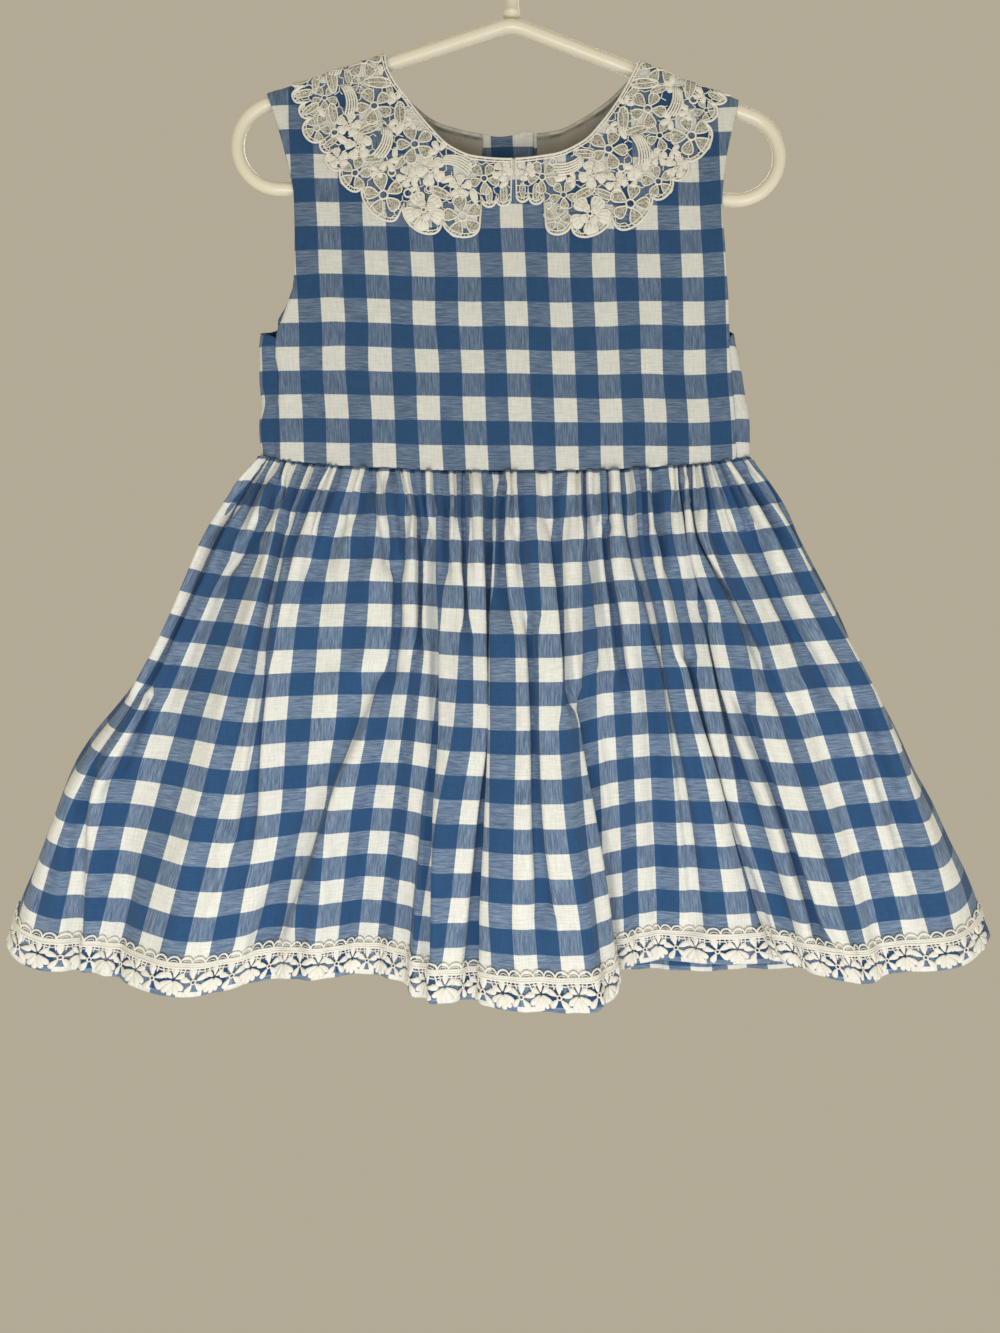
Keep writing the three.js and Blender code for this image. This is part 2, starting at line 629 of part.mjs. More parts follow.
function collar(hand) {
  const places = [
    ...HALF_SHARES.map((share) => share * SHOULDER_SHARE),
    ...HALF_SHARES.slice(0, -1).reverse().map((share) => 1 - share * (1 - SHOULDER_SHARE)),
  ];
  const base = collarSurface(hand);
  const scalloped = (u, v) => {
    const after = Math.max(1, places.findIndex((share) => share >= u));
    const place = after - 1 + (u - places[after - 1]) / (places[after] - places[after - 1]);
    const reach = lookUp(COLLAR, 'share', 'reach', u);
    const stand = SCALLOP * v * v * Math.sin(Math.PI / 2 * place) ** 2;
    return base(u, v * (1 + stand / reach) - SCALLOP / reach * v);
  };
  const from = HALF + SEAM_GAP;
  const out = (point) => new THREE.Vector3(0, Math.sign(point.y) || -1, 0)
    .add(new THREE.Vector3(0, 0, point.z > armHeight(point.x) ? 3 : 0));
  return wall(`collar_${hand < 0 ? 'left' : 'right'}`, scalloped, places,
    [0, 0.33, 0.67, 1], from, from + LACE, out, WHITE_LACE);
}

function neckFacing(hand) {
  const base = collarSurface(hand);
  const band = (u, v) =>
    base(u, (FACING_INSET + v * FACING_DEPTH) / lookUp(COLLAR, 'share', 'reach', u));
  const places = HALF_SHARES.filter((share) => share < NECK_STRAIGHT).reverse()
    .map((share) => 1 - share * (1 - SHOULDER_SHARE));
  return wall(`neck_facing_${hand < 0 ? 'left' : 'right'}`, band, places, [0, 0.34, 0.67, 1],
    -HALF - SEAM_GAP - CLOTH, -HALF - SEAM_GAP, away(1), WHITE_COTTON);
}

// ---------- skirt ----------

const CUT = FRONT_FOLDS[FRONT_FOLDS.length - 1].cloth;

// The waist seam's half depth at x.
function waistDepth(x) {
  const { centre, half, fold } = section(WAIST_SIDE);
  const across = Math.abs(x - centre);
  if (across <= half) return Math.abs(bodice(x - centre, WAIST_SIDE, 1).y);
  return Math.sqrt(Math.max(0, fold ** 2 - (across - half) ** 2));
}

// A fold table's rows as whole numbers, with the cloth between them in proportion.
function foldPlace(table, cloth) {
  let i = 0;
  while (i < table.length - 2 && cloth > table[i + 1].cloth) i += 1;
  return i + (cloth - table[i].cloth) / (table[i + 1].cloth - table[i].cloth);
}

// How far the back skirt bulges past the side fold.
function flare(cloth, down) {
  const hump = (from, { at, spread: length, by }) => {
    if (from >= FLARE_CLOTH) return 0;
    return by * Math.sin(Math.PI * from / FLARE_CLOTH) * Math.exp(-(((down - at) / length) ** 2));
  };
  return hump(CUT - cloth, FLARES.right) - hump(cloth, FLARES.left);
}

// A point of the skirt's middle layer: "cloth" across the cut, "down" from waist 0 to hem 1.
function skirt(side) {
  const table = side < 0 ? FRONT_FOLDS : BACK_FOLDS;
  return (cloth, down) => {
    const waist = lookUp(table, 'cloth', 'waist', cloth);
    const hem = lookUp(table, 'cloth', 'hem', cloth);
    const depth = Math.abs(lookUp(table, 'cloth', 'depth', cloth));
    const low = lookUp(table, 'cloth', 'low', cloth);
    const bulge = waist < WAIST.centre ? SKIRT_SWELL.left : SKIRT_SWELL.right;
    const swell = bulge * Math.sin(Math.PI * down) * (waist - WAIST.centre) / WAIST.half;
    const x = waist + (hem - waist) * down + swell + (side > 0 ? flare(cloth, down) : 0);
    const top = waistHeight(waist) - WAIST_GAP;
    const z = top + (low - top) * down;
    const turned = clamp(Math.min(cloth, CUT - cloth) / SIDE_ROUND, 0, 1);
    const round = Math.sqrt(1 - (1 - turned) ** 2);
    const relief = GATHER_HEIGHT * Math.cos(2 * Math.PI * foldPlace(table, cloth))
      * (1 - smooth(down / 0.45)) * smooth(turned);
    const start = Math.max(waistDepth(waist), SIDE_FOLD);
    const y = (start + (depth - start) * down ** SKIRT_EASE) * round + relief;
    return new THREE.Vector3(x, side * (SEAM_GAP / 2 + y), z);
  };
}

function skirtColumns(side) {
  const table = side < 0 ? FRONT_FOLDS : BACK_FOLDS;
  const inner = [];
  for (let i = 0; i < table.length - 1; i += 1) {
    if (i > 0) inner.push(table[i].cloth);
    inner.push((table[i].cloth + table[i + 1].cloth) / 2);
  }
  const turn = [0, 1.5, 6];
  return [...turn, ...inner, ...turn.map((cloth) => CUT - cloth).reverse()];
}

const laceRow = (height) => 1 - height / SKIRT_LENGTH;
const SKIRT_ROWS = [0, 0.07, 0.2, 0.37, 0.56, 0.74, laceRow(HEM_LACE.top),
  laceRow(HEM_LACE.bottom), 1];

function skirtPanel(side) {
  return wall(`skirt_${side < 0 ? 'front' : 'back'}`, skirt(side), skirtColumns(side),
    SKIRT_ROWS, -HALF, HALF, away(side), GINGHAM);
}

function hemLace(side) {
  const from = HALF + SEAM_GAP;
  return wall(`hem_lace_${side < 0 ? 'front' : 'back'}`, skirt(side), skirtColumns(side),
    [laceRow(HEM_LACE.top), laceRow(HEM_LACE.bottom)], from, from + LACE, away(side), WHITE_LACE);
}

// ---------- the object ----------

const dress = new THREE.Group();
dress.add(hangerBow(), hangerHook());
dress.add(bodiceFront(), bodiceBack(-1), bodiceBack(1));
dress.add(collar(-1), collar(1), neckFacing(-1), neckFacing(1));
dress.add(skirtPanel(-1), skirtPanel(1), hemLace(-1), hemLace(1));
dress.add(...buttons());

export default dress;
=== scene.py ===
"""A child's sleeveless gingham dress with a lace collar and hem, on a white tube hanger."""

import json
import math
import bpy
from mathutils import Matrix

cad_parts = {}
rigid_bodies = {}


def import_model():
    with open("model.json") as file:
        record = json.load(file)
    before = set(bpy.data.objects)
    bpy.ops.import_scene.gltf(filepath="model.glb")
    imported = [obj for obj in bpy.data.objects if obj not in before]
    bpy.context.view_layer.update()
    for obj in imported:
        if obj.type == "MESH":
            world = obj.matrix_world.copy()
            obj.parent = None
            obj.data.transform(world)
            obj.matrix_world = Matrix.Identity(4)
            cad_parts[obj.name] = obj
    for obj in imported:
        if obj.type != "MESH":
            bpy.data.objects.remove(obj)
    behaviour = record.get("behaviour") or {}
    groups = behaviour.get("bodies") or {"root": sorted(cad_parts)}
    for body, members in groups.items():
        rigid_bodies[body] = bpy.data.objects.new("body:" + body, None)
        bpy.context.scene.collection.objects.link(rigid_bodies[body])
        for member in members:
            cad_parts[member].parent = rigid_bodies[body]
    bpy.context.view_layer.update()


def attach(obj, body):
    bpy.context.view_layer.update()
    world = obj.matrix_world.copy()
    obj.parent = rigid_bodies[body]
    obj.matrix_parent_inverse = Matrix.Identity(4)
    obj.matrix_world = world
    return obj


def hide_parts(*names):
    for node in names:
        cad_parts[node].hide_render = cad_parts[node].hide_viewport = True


bl_info = {
    "name": "Gingham Dress on a Hanger",
    "version": (1, 0, 0),
    "blender": (4, 5, 0),
    "location": "3D View > Sidebar > Dress",
    "description": "Builds the finished cloth, lace, buttons and hanger of a gingham dress",
    "category": "Object",
}

import bpy
import numpy as np
from mathutils import Vector

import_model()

MM = 0.001
TAU = 2 * math.pi
FRONT, BACK = -1, 1
LEFT, RIGHT = -1, 1
SIDES = {FRONT: "front", BACK: "back"}
HANDS = {LEFT: "left", RIGHT: "right"}


# ---------- tables and small maths ----------


def curve(key, values, at):
    """Values at each key, read between them on a curve that never overshoots."""
    shape = (-1,) + (1,) * (values.ndim - 1)
    width = np.diff(key).reshape(shape)
    slope = np.diff(values, axis=0) / width
    product, total = slope[:-1] * slope[1:], slope[:-1] + slope[1:]
    inner = np.where(product > 0, 2 * product / np.where(total == 0, 1, total), 0)
    tangent = np.concatenate([slope[:1], inner, slope[-1:]])
    at = np.clip(np.asarray(at, float), key[0], key[-1])
    i = np.clip(np.searchsorted(key, at, side="right") - 1, 0, len(key) - 2)
    t = ((at - key[i]) / np.diff(key)[i]).reshape(at.shape + shape[1:])
    t2, t3 = t * t, t * t * t
    step = np.diff(key)[i].reshape(t.shape)
    return (2 * t3 - 3 * t2 + 1) * values[i] + (t3 - 2 * t2 + t) * tangent[i] * step \
        + (3 * t2 - 2 * t3) * values[i + 1] + (t3 - t2) * tangent[i + 1] * step


class Table:
    """Rows of named columns, read along the first on a curve that never overshoots them."""

    def __init__(self, columns, rows):
        data = np.array(sorted(rows), float)
        self.key = data[:, 0]
        self.columns = {name: data[:, i + 1] for i, name in enumerate(columns[1:])}

    def read(self, column, at):
        """The column's values at places along the first column."""
        return curve(self.key, self.columns[column], at)


def smooth(value):
    """0 below 0 and 1 above 1, with a soft rise between."""
    t = np.clip(value, 0, 1)
    return t * t * (3 - 2 * t)


def mix(a, b, t):
    """From a, where t is 0, to b, where t is 1."""
    return a + (b - a) * t


def noise(x, y=0.0, seed=1):
    """Smooth noise between -1 and 1, with one hump to a unit of x and y."""
    x, y = np.broadcast_arrays(np.asarray(x, float), np.asarray(y, float))
    lattice = np.random.default_rng(seed).uniform(-1, 1, (64, 64))
    i, j = np.floor(x).astype(int), np.floor(y).astype(int)
    u, v = smooth(x - i), smooth(y - j)
    low = mix(lattice[i % 64, j % 64], lattice[(i + 1) % 64, j % 64], u)
    high = mix(lattice[i % 64, (j + 1) % 64], lattice[(i + 1) % 64, (j + 1) % 64], u)
    return mix(low, high, v)


def unit(vectors):
    """Vectors of the same bearing, each one long."""
    return vectors / np.maximum(np.linalg.norm(vectors, axis=-1, keepdims=True), 1e-9)


def around(count):
    """Angles evenly round a circle."""
    return np.linspace(0, TAU, count, endpoint=False)


def distance_along(path):
    """How far along a path each of its points is."""
    return np.concatenate([[0], np.cumsum(np.linalg.norm(np.diff(path, axis=0), axis=1))])


def faces_of(*corners):
    """Faces from arrays of point numbers, one array for each corner."""
    return np.stack([corner.ravel() for corner in np.broadcast_arrays(*corners)], axis=1)


# ---------- sizes, in millimetres ----------

# The air left where two layers meet at a seam, and between bodice and skirt at the waist.
SEAM_GAP = 0.3
WAIST_GAP = 0.7

# The hanger: its tube, how far it hangs askew, its apex, its arms' slope and its round ends.
TUBE_RADIUS = 3.6
TUBE_SIDES = 28
HANGER_TILT = math.radians(1.39)
HANGER_APEX = -70.0
APEX_ROUNDING = 7.0
ARM_SLOPE = math.radians(19.75)
LOOP = {"radius": 23.7, "x": 123.9, "z": -139.5}
HOOK_INNER = 16.0

# The cloth over the hanger's arms: how far it is from the tube's axis, and its arc.
SADDLE = TUBE_RADIUS + 1.1
SADDLE_RISE = SADDLE / math.cos(ARM_SLOPE)
SADDLE_ARC = SADDLE_RISE * math.pi / 2

# The bodice: half depths from the arms down to the chest, the side folds' radii, the waist
# and the underarms, and the backs' edges where they lap at the centre.
CHEST_DEPTH = 10.0
DEPTH_REACH = 70.0
ARM_FOLD = 4.8
SIDE_FOLD = 3.0
SHOULDER_END = {LEFT: -134.0, RIGHT: 121.0}
WAIST_SIDE = -306.0
WAIST_SAG = 9.0
WAIST_CENTRE = -4.9
WAIST_HALF = 133.1
UNDERARM = -241.0
PLACKET = {LEFT: -15.2, RIGHT: 10.1}
PLACKET_BLEND = 15.0
PLACKET_SHIFT = 0.7

# How far a facing reaches from the neckline, and its cloth's thickness.
FACING_REACH = 48.6
FACING_CLOTH = 0.45

# The skirt: its cut, the rounding at its sides and how fast its folds open.
SKIRT_CUT = 705.0
SKIRT_LENGTH = 283.0
SKIRT_COLUMNS = 565
SIDE_ROUND = 12.0
SKIRT_EASE = 0.75

# One repeat of the check across and down, where the first one starts, and how far each
# back's checks are moved from the front's, in repeats.
CHECK = {"bodice": (24.4, 25.9), "facing": (24.9, 26.5), "skirt": (26.6, 25.4)}
CHECK_START = {"bodice": (-5.8, 195.3), "skirt": (13.35, 1.4)}
CHECK_MOVED = {LEFT: (0.64, 0.02), RIGHT: (0.58, 0.02)}

# Columns of the front, of a back and of a facing, and a panel's rows over the arm and below.
FRONT_COLUMNS, BACK_COLUMNS, FACING_COLUMNS = 112, 76, 108
BODICE_ROWS = (10, 124)

# The panels' side edges at levels down the bodice, and where its sides fold.
LEFT_EDGE = Table(("level", "front", "back", "fold"), [
    (-109, -134.0, -134.0, -142.0), (-118, -130.8, -131.2, -142.0),
    (-141, -124.0, -125.0, -141.5), (-167, -118.9, -120.5, -141.0),
    (-190, -118.4, -120.0, -140.5), (-212, -119.0, -121.5, -140.0),
    (-222, -121.8, -125.0, -139.5), (-231, -125.0, -129.5, -138.8),
    (-241, -128.4, -129.3, -138.2), (-249, -129.4, -129.6, -138.9),
    (-264, -127.2, -128.0, -139.2), (-278, -127.7, -128.4, -138.0),
    (-290, -128.6, -129.2, -139.0), (-307, -129.2, -129.5, -138.0),
])
RIGHT_EDGE = Table(("level", "front", "back", "fold"), [
    (-113, 121.0, 121.0, 131.0), (-124, 118.5, 118.8, 131.0),
    (-145, 114.0, 115.0, 130.5), (-171, 111.6, 113.4, 129.5),
    (-190, 112.9, 113.6, 128.5), (-212, 114.4, 115.0, 125.5),
    (-224, 115.2, 116.0, 122.5), (-233, 115.6, 116.8, 120.3),
    (-241, 115.8, 116.1, 119.3), (-252, 116.8, 117.1, 121.4),
    (-262, 117.8, 118.1, 122.9), (-272, 118.6, 118.9, 124.6),
    (-285, 119.6, 119.9, 127.0), (-307, 120.0, 120.3, 128.2),
])

# x of the neckline's ends on the shoulders, and its line between them as (x, level).
NECK_ENDS = {LEFT: -71.1, RIGHT: 68.9}
NECKLINE = {
    FRONT: [
        (-68.5, -97.0), (-57.6, -114.0), (-45.0, -130.6), (-34.5, -141.2), (-22.0, -146.8),
        (-4.0, -148.2), (20.0, -146.0), (36.0, -138.8), (47.4, -126.3), (56.7, -112.6),
        (64.5, -98.0),
    ],
    BACK: [
        (-66.5, -97.5), (-56.0, -110.6), (-42.0, -120.3), (-31.0, -123.4), (-20.0, -125.9),
        (-8.0, -127.6), (-1.0, -126.8), (6.0, -124.9), (14.0, -125.4), (24.0, -124.4),
        (36.0, -119.4), (50.0, -110.6), (62.5, -98.5),
    ],
}

# How the skirt's cloth is spread from side to side: where each place across the cut lies at
# several shares of the way down.
SPREAD_LEVELS = (0.0, 0.13, 0.3, 0.485, 0.66, 0.84, 1.0)
SPREAD = Table(("cloth", *SPREAD_LEVELS), [
    (0, -138, -161.5, -182, -208.5, -240.5, -257.5, -274),
    (20, -136.5, -159, -179.5, -203.5, -234.5, -253, -264),
    (46.6, -133.5, -153, -174, -198, -221, -229.5, -236),
    (73.2, -127.5, -144.5, -164.5, -183, -197, -209, -218.5),
    (99.8, -120.5, -129, -142, -157.5, -170, -183.5, -195),
    (126.4, -107, -121, -131, -138.5, -148.5, -158.5, -167),
    (153, -98.5, -110, -121.5, -126.5, -128, -136.5, -145),
    (179.6, -83.5, -91.5, -97, -100, -105.5, -115, -122),
    (206.2, -71.5, -70.5, -72, -78, -90, -95.5, -99),
    (232.8, -59.5, -55.5, -55, -62, -68.5, -74, -78.5),
    (259.4, -46, -44, -45, -47.5, -51, -56.5, -61),
    (286, -34, -32.5, -32, -35, -41.5, -45.5, -48.5),
    (312.6, -21, -20.5, -19, -17.5, -23.5, -29, -34.5),
    (339.2, -10, -10.5, -12.5, -12.5, -13.5, -15, -14),
    (365.8, -2.5, -2, 3, 4.5, 3, 3, 6),
    (392.4, 15, 15.5, 16.5, 17.5, 20, 26.5, 31),
    (419, 32, 30, 31, 32, 37, 43, 47.5),
    (445.6, 42, 43, 45.5, 47, 49.5, 51.5, 53.5),
    (472.2, 53, 54, 61.5, 66.5, 68, 69.5, 70),
    (498.8, 62, 65, 74.5, 81, 87, 91, 93.5),
    (525.4, 71.5, 72.5, 82, 92, 105, 113.5, 120),
    (552, 85, 88.5, 97.5, 104.5, 113, 128.5, 142),
    (578.6, 92, 94.5, 104, 114.5, 130, 143, 155),
    (605.2, 97.5, 98.5, 119.5, 132, 145, 160, 172.5),
    (631.8, 105, 114.5, 131.5, 151.5, 167, 180, 189),
    (658.4, 115, 132.5, 152.5, 175, 189, 202, 212),
    (685, 123.5, 143.5, 168, 194, 213, 230, 239.5),
    (705, 128.2, 147.7, 172.4, 197.7, 219.5, 240.4, 258),
])

# The skirt's main folds across the cut: how far out each stands at the hem, and the height of
# the hem edge.
FOLDS = {
    FRONT: Table(("cloth", "depth", "low"), [
        (0, 9, -565), (36, 24, -579), (66, 18, -581), (124, 39, -589), (165, 26, -584),
        (192, 34, -581), (241, 27, -580), (296, 48, -588), (334, 42, -590), (362, 57, -591),
        (392, 55, -591), (418, 50, -588), (446, 25, -578), (480, 20, -575), (510, 27, -575),
        (545, 20, -576), (592, 34, -580), (620, 37, -583), (645, 27, -579), (675, 27, -577),
        (705, 9, -565),
    ]),
    BACK: Table(("cloth", "depth", "low"), [
        (0, 9, -565), (34, 22, -578), (78, 15, -582), (118, 31, -588), (162, 20, -589),
        (204, 37, -593), (252, 24, -592), (288, 40, -596), (340, 27, -595), (386, 42, -597),
        (424, 25, -596), (470, 38, -594), (508, 24, -592), (556, 35, -594), (596, 20, -588),
        (636, 28, -582), (672, 17, -577), (705, 9, -565),
    ]),
}

# x of the skirt's side seams at shares of the way down.
SIDE_LINES = {
    LEFT: Table(("down", "x"), [
        (0, -137.5), (0.045, -142.5), (0.085, -149), (0.13, -158), (0.19, -169), (0.265, -177),
        (0.33, -182.5), (0.40, -192), (0.445, -200.5), (0.51, -213.5), (0.585, -229.5),
        (0.65, -239.5), (0.735, -247.5), (0.835, -257), (0.915, -266), (1, -274),
    ]),
    RIGHT: Table(("down", "x"), [
        (0, 128.2), (0.06, 140), (0.11, 148), (0.165, 154), (0.225, 162), (0.335, 176.5),
        (0.42, 185.5), (0.49, 195.5), (0.565, 206), (0.65, 216), (0.72, 226), (0.80, 235.5),
        (0.86, 243.5), (0.925, 250.5), (1, 258),
    ]),
}

# Creases where the front skirt's cloth dives in: how far down each starts and ends, the cloth
# it follows at both ends, its half width, its strength and how far it leans.
FRONT_CREASES = [
    (0.04, 0.50, 36, 38, 8.0, 1.2, 0.0), (0.45, 0.75, 52, 60, 4.0, 1.0, -0.3),
    (0.60, 1.05, 34, 54, 4.0, 0.9, 0.2), (0.78, 1.10, 76, 85, 4.0, 0.7, 0.0),
    (0.02, 0.27, 104, 66, 4.0, 1.1, -0.3), (0.00, 0.45, 119, 130, 6.0, 1.4, 0.0),
    (0.36, 0.75, 134, 142, 4.5, 1.3, 0.5), (0.03, 0.26, 192, 160, 4.0, 0.7, 0.0),
    (0.40, 0.95, 204, 164, 8.0, 0.7, 0.0), (0.00, 0.24, 197, 219, 3.5, 1.0, -0.3),
    (0.18, 0.45, 220, 222, 3.5, 0.7, 0.0), (0.02, 0.38, 246, 247, 4.5, 1.1, 0.2),
    (0.05, 1.10, 257, 293, 4.5, 1.3, 0.3), (0.00, 0.25, 277, 280, 3.0, 0.9, 0.0),
    (0.00, 0.35, 297, 300, 3.0, 0.9, 0.0), (0.02, 1.10, 336, 328, 5.5, 1.6, 0.5),
    (0.00, 0.30, 350, 354, 4.0, 1.2, 0.0), (0.28, 0.85, 374, 380, 4.0, 0.9, -0.2),
    (0.03, 0.50, 400, 413, 4.0, 1.3, -0.3), (0.42, 1.10, 424, 440, 5.0, 1.6, -0.5),
    (0.00, 0.42, 434, 447, 3.2, 1.0, 0.0), (0.08, 0.45, 456, 462, 3.2, 0.9, 0.2),
    (0.02, 0.40, 489, 501, 6.0, 1.4, -0.3), (0.34, 0.95, 500, 504, 3.2, 1.0, 0.0),
    (0.00, 0.22, 533, 536, 3.5, 1.1, 0.0), (0.38, 1.05, 534, 548, 4.5, 1.3, -0.3),
    (0.00, 0.30, 562, 570, 4.0, 1.1, 0.0), (0.02, 0.50, 588, 620, 4.0, 1.2, 0.3),
    (0.30, 0.70, 566, 568, 4.0, 0.8, 0.0), (0.45, 0.95, 588, 592, 4.0, 0.9, 0.2),
    (0.10, 0.50, 644, 650, 4.0, 0.6, 0.0), (0.45, 0.95, 664, 668, 4.0, 0.7, 0.0),
]


def seen_from_behind(creases):
    """Creases like the given ones, the other way round, each a little different."""
    turned_round = []
    for k, (start, end, top, foot, width, strength, lean) in enumerate(creases):
        turned_round.append((
            start + 0.04 * math.sin(5.0 * k), end - 0.06 * (k % 3),
            SKIRT_CUT - top, SKIRT_CUT - foot + 5 * math.sin(k),
            width, strength * (1 + 0.2 * math.sin(3.0 * k)), -lean))
    return turned_round


CREASES = {FRONT: FRONT_CREASES, BACK: seen_from_behind(FRONT_CREASES)}

# Soft folds in the bodice: from and to (x, level), half width and how far each stands out.
BODICE_FOLDS = [
    (-118, -196, -92, -292, 7, -0.9), (-110, -190, -84, -284, 6, 0.7),
    (-70, -178, -66, -300, 9, -0.6), (-30, -150, -36, -262, 8, 0.5),
    (22, -160, 30, -304, 9, -0.8), (56, -178, 60, -290, 8, 0.6),
    (104, -206, 72, -300, 7, -0.8), (98, -176, 90, -262, 6, 0.6),
]

# The buttons: rim and foot radius, where the top one sits, and the sides of the round.
BUTTON = {"radius": 5.25, "foot": 4.6, "x": -2.5, "top": -136.0, "count": 4, "sides": 56}


def size(name):
    """A size from the sidebar, in millimetres."""
    return round(getattr(bpy.context.scene.dress_size, name) / MM, 4)


# ---------- the bodice's form ----------


def arm_height(x):
    """Height of the hanger arm's axis under x."""
    apex_x = HANGER_APEX * math.sin(HANGER_TILT)
    apex_z = HANGER_APEX * math.cos(HANGER_TILT)
    slope = np.where(x < apex_x, math.tan(ARM_SLOPE - HANGER_TILT),
                     math.tan(ARM_SLOPE + HANGER_TILT))
    return apex_z - np.abs(x - apex_x) * slope


def ridge(x):
    """Height of the shoulder's ridge, where front and back meet over the arm."""
    return arm_height(x) + SADDLE_ARC


def waist_height(x):
    """Height of the waist seam, which sags towards the middle."""
    share = np.minimum(1, np.abs((x - WAIST_CENTRE) / WAIST_HALF))
    return WAIST_SIDE - WAIST_SAG * (1 - share ** 2.5)


def section(level):
    """The bodice's section at a level: centre, straight half width and fold radius."""
    left, right = LEFT_EDGE.read("fold", level), RIGHT_EDGE.read("fold", level)
    fold = SIDE_FOLD + (ARM_FOLD - SIDE_FOLD) * smooth((level - UNDERARM + 25) / 30)
    return (left + right) / 2, (right - left) / 2 - fold, fold


def bodice(girth, level, side, lift=0.0):
    """A point of the bodice's middle layer, moved out by lift."""
    centre, half, fold = section(level)
    reach = np.abs(girth)
    hand = np.where(girth < 0, -1.0, 1.0)
    turn = (reach - half) / fold
    wrapped = turn > math.pi
    turning = (turn > 0) & ~wrapped
    across = np.where(wrapped, hand * (half - (reach - half - math.pi * fold)),
                      np.where(turning, hand * (half + fold * np.sin(turn)), girth))
    facing = np.where(wrapped, -side, side)
    edge = np.where(turning, np.cos(turn), 1.0)
    swing = np.where(turning, np.sin(turn), 0.0)
    x = centre + across
    below = arm_height(x) - level
    depth = ARM_FOLD + (CHEST_DEPTH - ARM_FOLD) * smooth(below / DEPTH_REACH)
    bulge = (1 - np.minimum(1, np.abs(across) / half) ** 3) ** 2
    least = np.minimum(fold, depth)
    flat = least + (depth - least) * bulge
    y = facing * (flat + lift) * edge
    angle = np.where(below < 0, -below / SADDLE_RISE, 0.0)
    over = arm_height(x) + (SADDLE_RISE + lift) * np.sin(angle)
    z = np.where(below < 0, over, level)
    return np.stack([x + hand * swing * lift, y * np.cos(angle), z], axis=-1)


def top_edge(x, side):
    """The top edge of a panel at x: the shoulder's ridge, or the neckline between them."""
    ends = [(end, float(ridge(end))) for end in (NECK_ENDS[LEFT], NECK_ENDS[RIGHT])]
    neck = Table(("x", "level"), [ends[0], *NECKLINE[side], ends[1]])
    shoulder = (x <= NECK_ENDS[LEFT]) | (x >= NECK_ENDS[RIGHT])
    return np.where(shoulder, ridge(x), neck.read("level", x))


def placket_lift(hand, x):
    """How far a back panel is set in or out where the two overlap at the centre."""
    beyond = PLACKET[LEFT] - x if hand < 0 else x - PLACKET[RIGHT]
    return hand * PLACKET_SHIFT * (1 - smooth(beyond / PLACKET_BLEND))


def side_edge(piece, hand, level):
    """Girth of a panel's side edge. The backs wrap round the side folds under the arms."""
    table = LEFT_EDGE if hand < 0 else RIGHT_EDGE
    centre, half, fold = section(level)
    straight = np.abs(table.read(piece, level) - centre)
    if piece == "front":
        return hand * straight
    wrapped = 2 * half + math.pi * fold - straight
    turned = smooth((UNDERARM + 6 - level) / 8)
    return hand * (straight + (wrapped - straight) * turned)


# ---------- meshes ----------


def normals_of(grid):
    """Unit normals of a grid of points."""
    return unit(np.cross(np.gradient(grid, axis=1), np.gradient(grid, axis=0)))


def linked(name, data):
    """A new object in the scene, with its mesh, camera or light."""
    obj = bpy.data.objects.new(name, data)
    bpy.context.scene.collection.objects.link(obj)
    return obj


def plain_mesh(name, points, faces, uv=None, masks=None):
    """A mesh object from points in millimetres."""
    mesh = bpy.data.meshes.new(name)
    mesh.from_pydata((np.asarray(points) * MM).tolist(), [], [list(map(int, f)) for f in faces])
    if uv is not None:
        layer = mesh.uv_layers.new(name="weave")
        corner = np.empty(len(mesh.loops), int)
        mesh.loops.foreach_get("vertex_index", corner)
        layer.data.foreach_set("uv", np.asarray(uv, np.float32)[corner].ravel())
    for mask, values in (masks or {}).items():
        attribute = mesh.attributes.new(mask, "FLOAT", "POINT")
        attribute.data.foreach_set("value", np.asarray(values, np.float32))
    mesh.shade_smooth()
    mesh.update()
    return linked(name, mesh)


def rim_of(rows, columns):
    """Grid places round the edge, in order."""
    top = [(0, j) for j in range(columns)]
    end = [(i, columns - 1) for i in range(1, rows)]
    foot = [(rows - 1, j) for j in range(columns - 2, -1, -1)]
    start = [(i, 0) for i in range(rows - 2, 0, -1)]
    return np.array(top + end + foot + start)


def cloth_shell(name, grid, weave, thickness, outward, masks=None):
    """A closed wall of cloth on a grid of points, with rounded edges."""
    normal = normals_of(grid)
    if np.mean(np.sum(normal * outward(grid), axis=-1)) < 0:
        grid, weave = grid[:, ::-1], weave[:, ::-1]
        masks = {key: value[:, ::-1] for key, value in (masks or {}).items()}
        normal = normals_of(grid)
    rows, columns = grid.shape[:2]
    half = np.broadcast_to(thickness, grid.shape[:2])[..., None] / 2
    outer, inner = grid + normal * half, grid - normal * half
    rim = rim_of(rows, columns)
    near = np.clip(rim, 1, [rows - 2, columns - 2])
    edge = grid[rim[:, 0], rim[:, 1]]
    lip = edge + unit(edge - grid[near[:, 0], near[:, 1]]) * half[rim[:, 0], rim[:, 1]]
    points = np.concatenate([outer.reshape(-1, 3), inner.reshape(-1, 3), lip])
    layer = rows * columns
    place = np.arange(layer).reshape(rows, columns)
    a, b, c, d = place[:-1, :-1], place[:-1, 1:], place[1:, 1:], place[1:, :-1]
    ring = rim[:, 0] * columns + rim[:, 1]
    after = np.roll(ring, -1)
    lips = 2 * layer + np.arange(len(ring))
    lips_after = np.roll(lips, -1)
    faces = np.concatenate([
        faces_of(a, b, c, d), faces_of(a, d, c, b) + layer,
        faces_of(after, ring, lips, lips_after),
        faces_of(lips_after, lips, ring + layer, after + layer)])

    def on_all(values):
        """Values of the grid for both faces of the cloth and its rounded edge."""
        return np.concatenate([values, values, values[ring]])

    return plain_mesh(name, points, faces, on_all(weave.reshape(-1, 2)),
                      {key: on_all(value.ravel()) for key, value in (masks or {}).items()})


# ---------- the bodice ----------


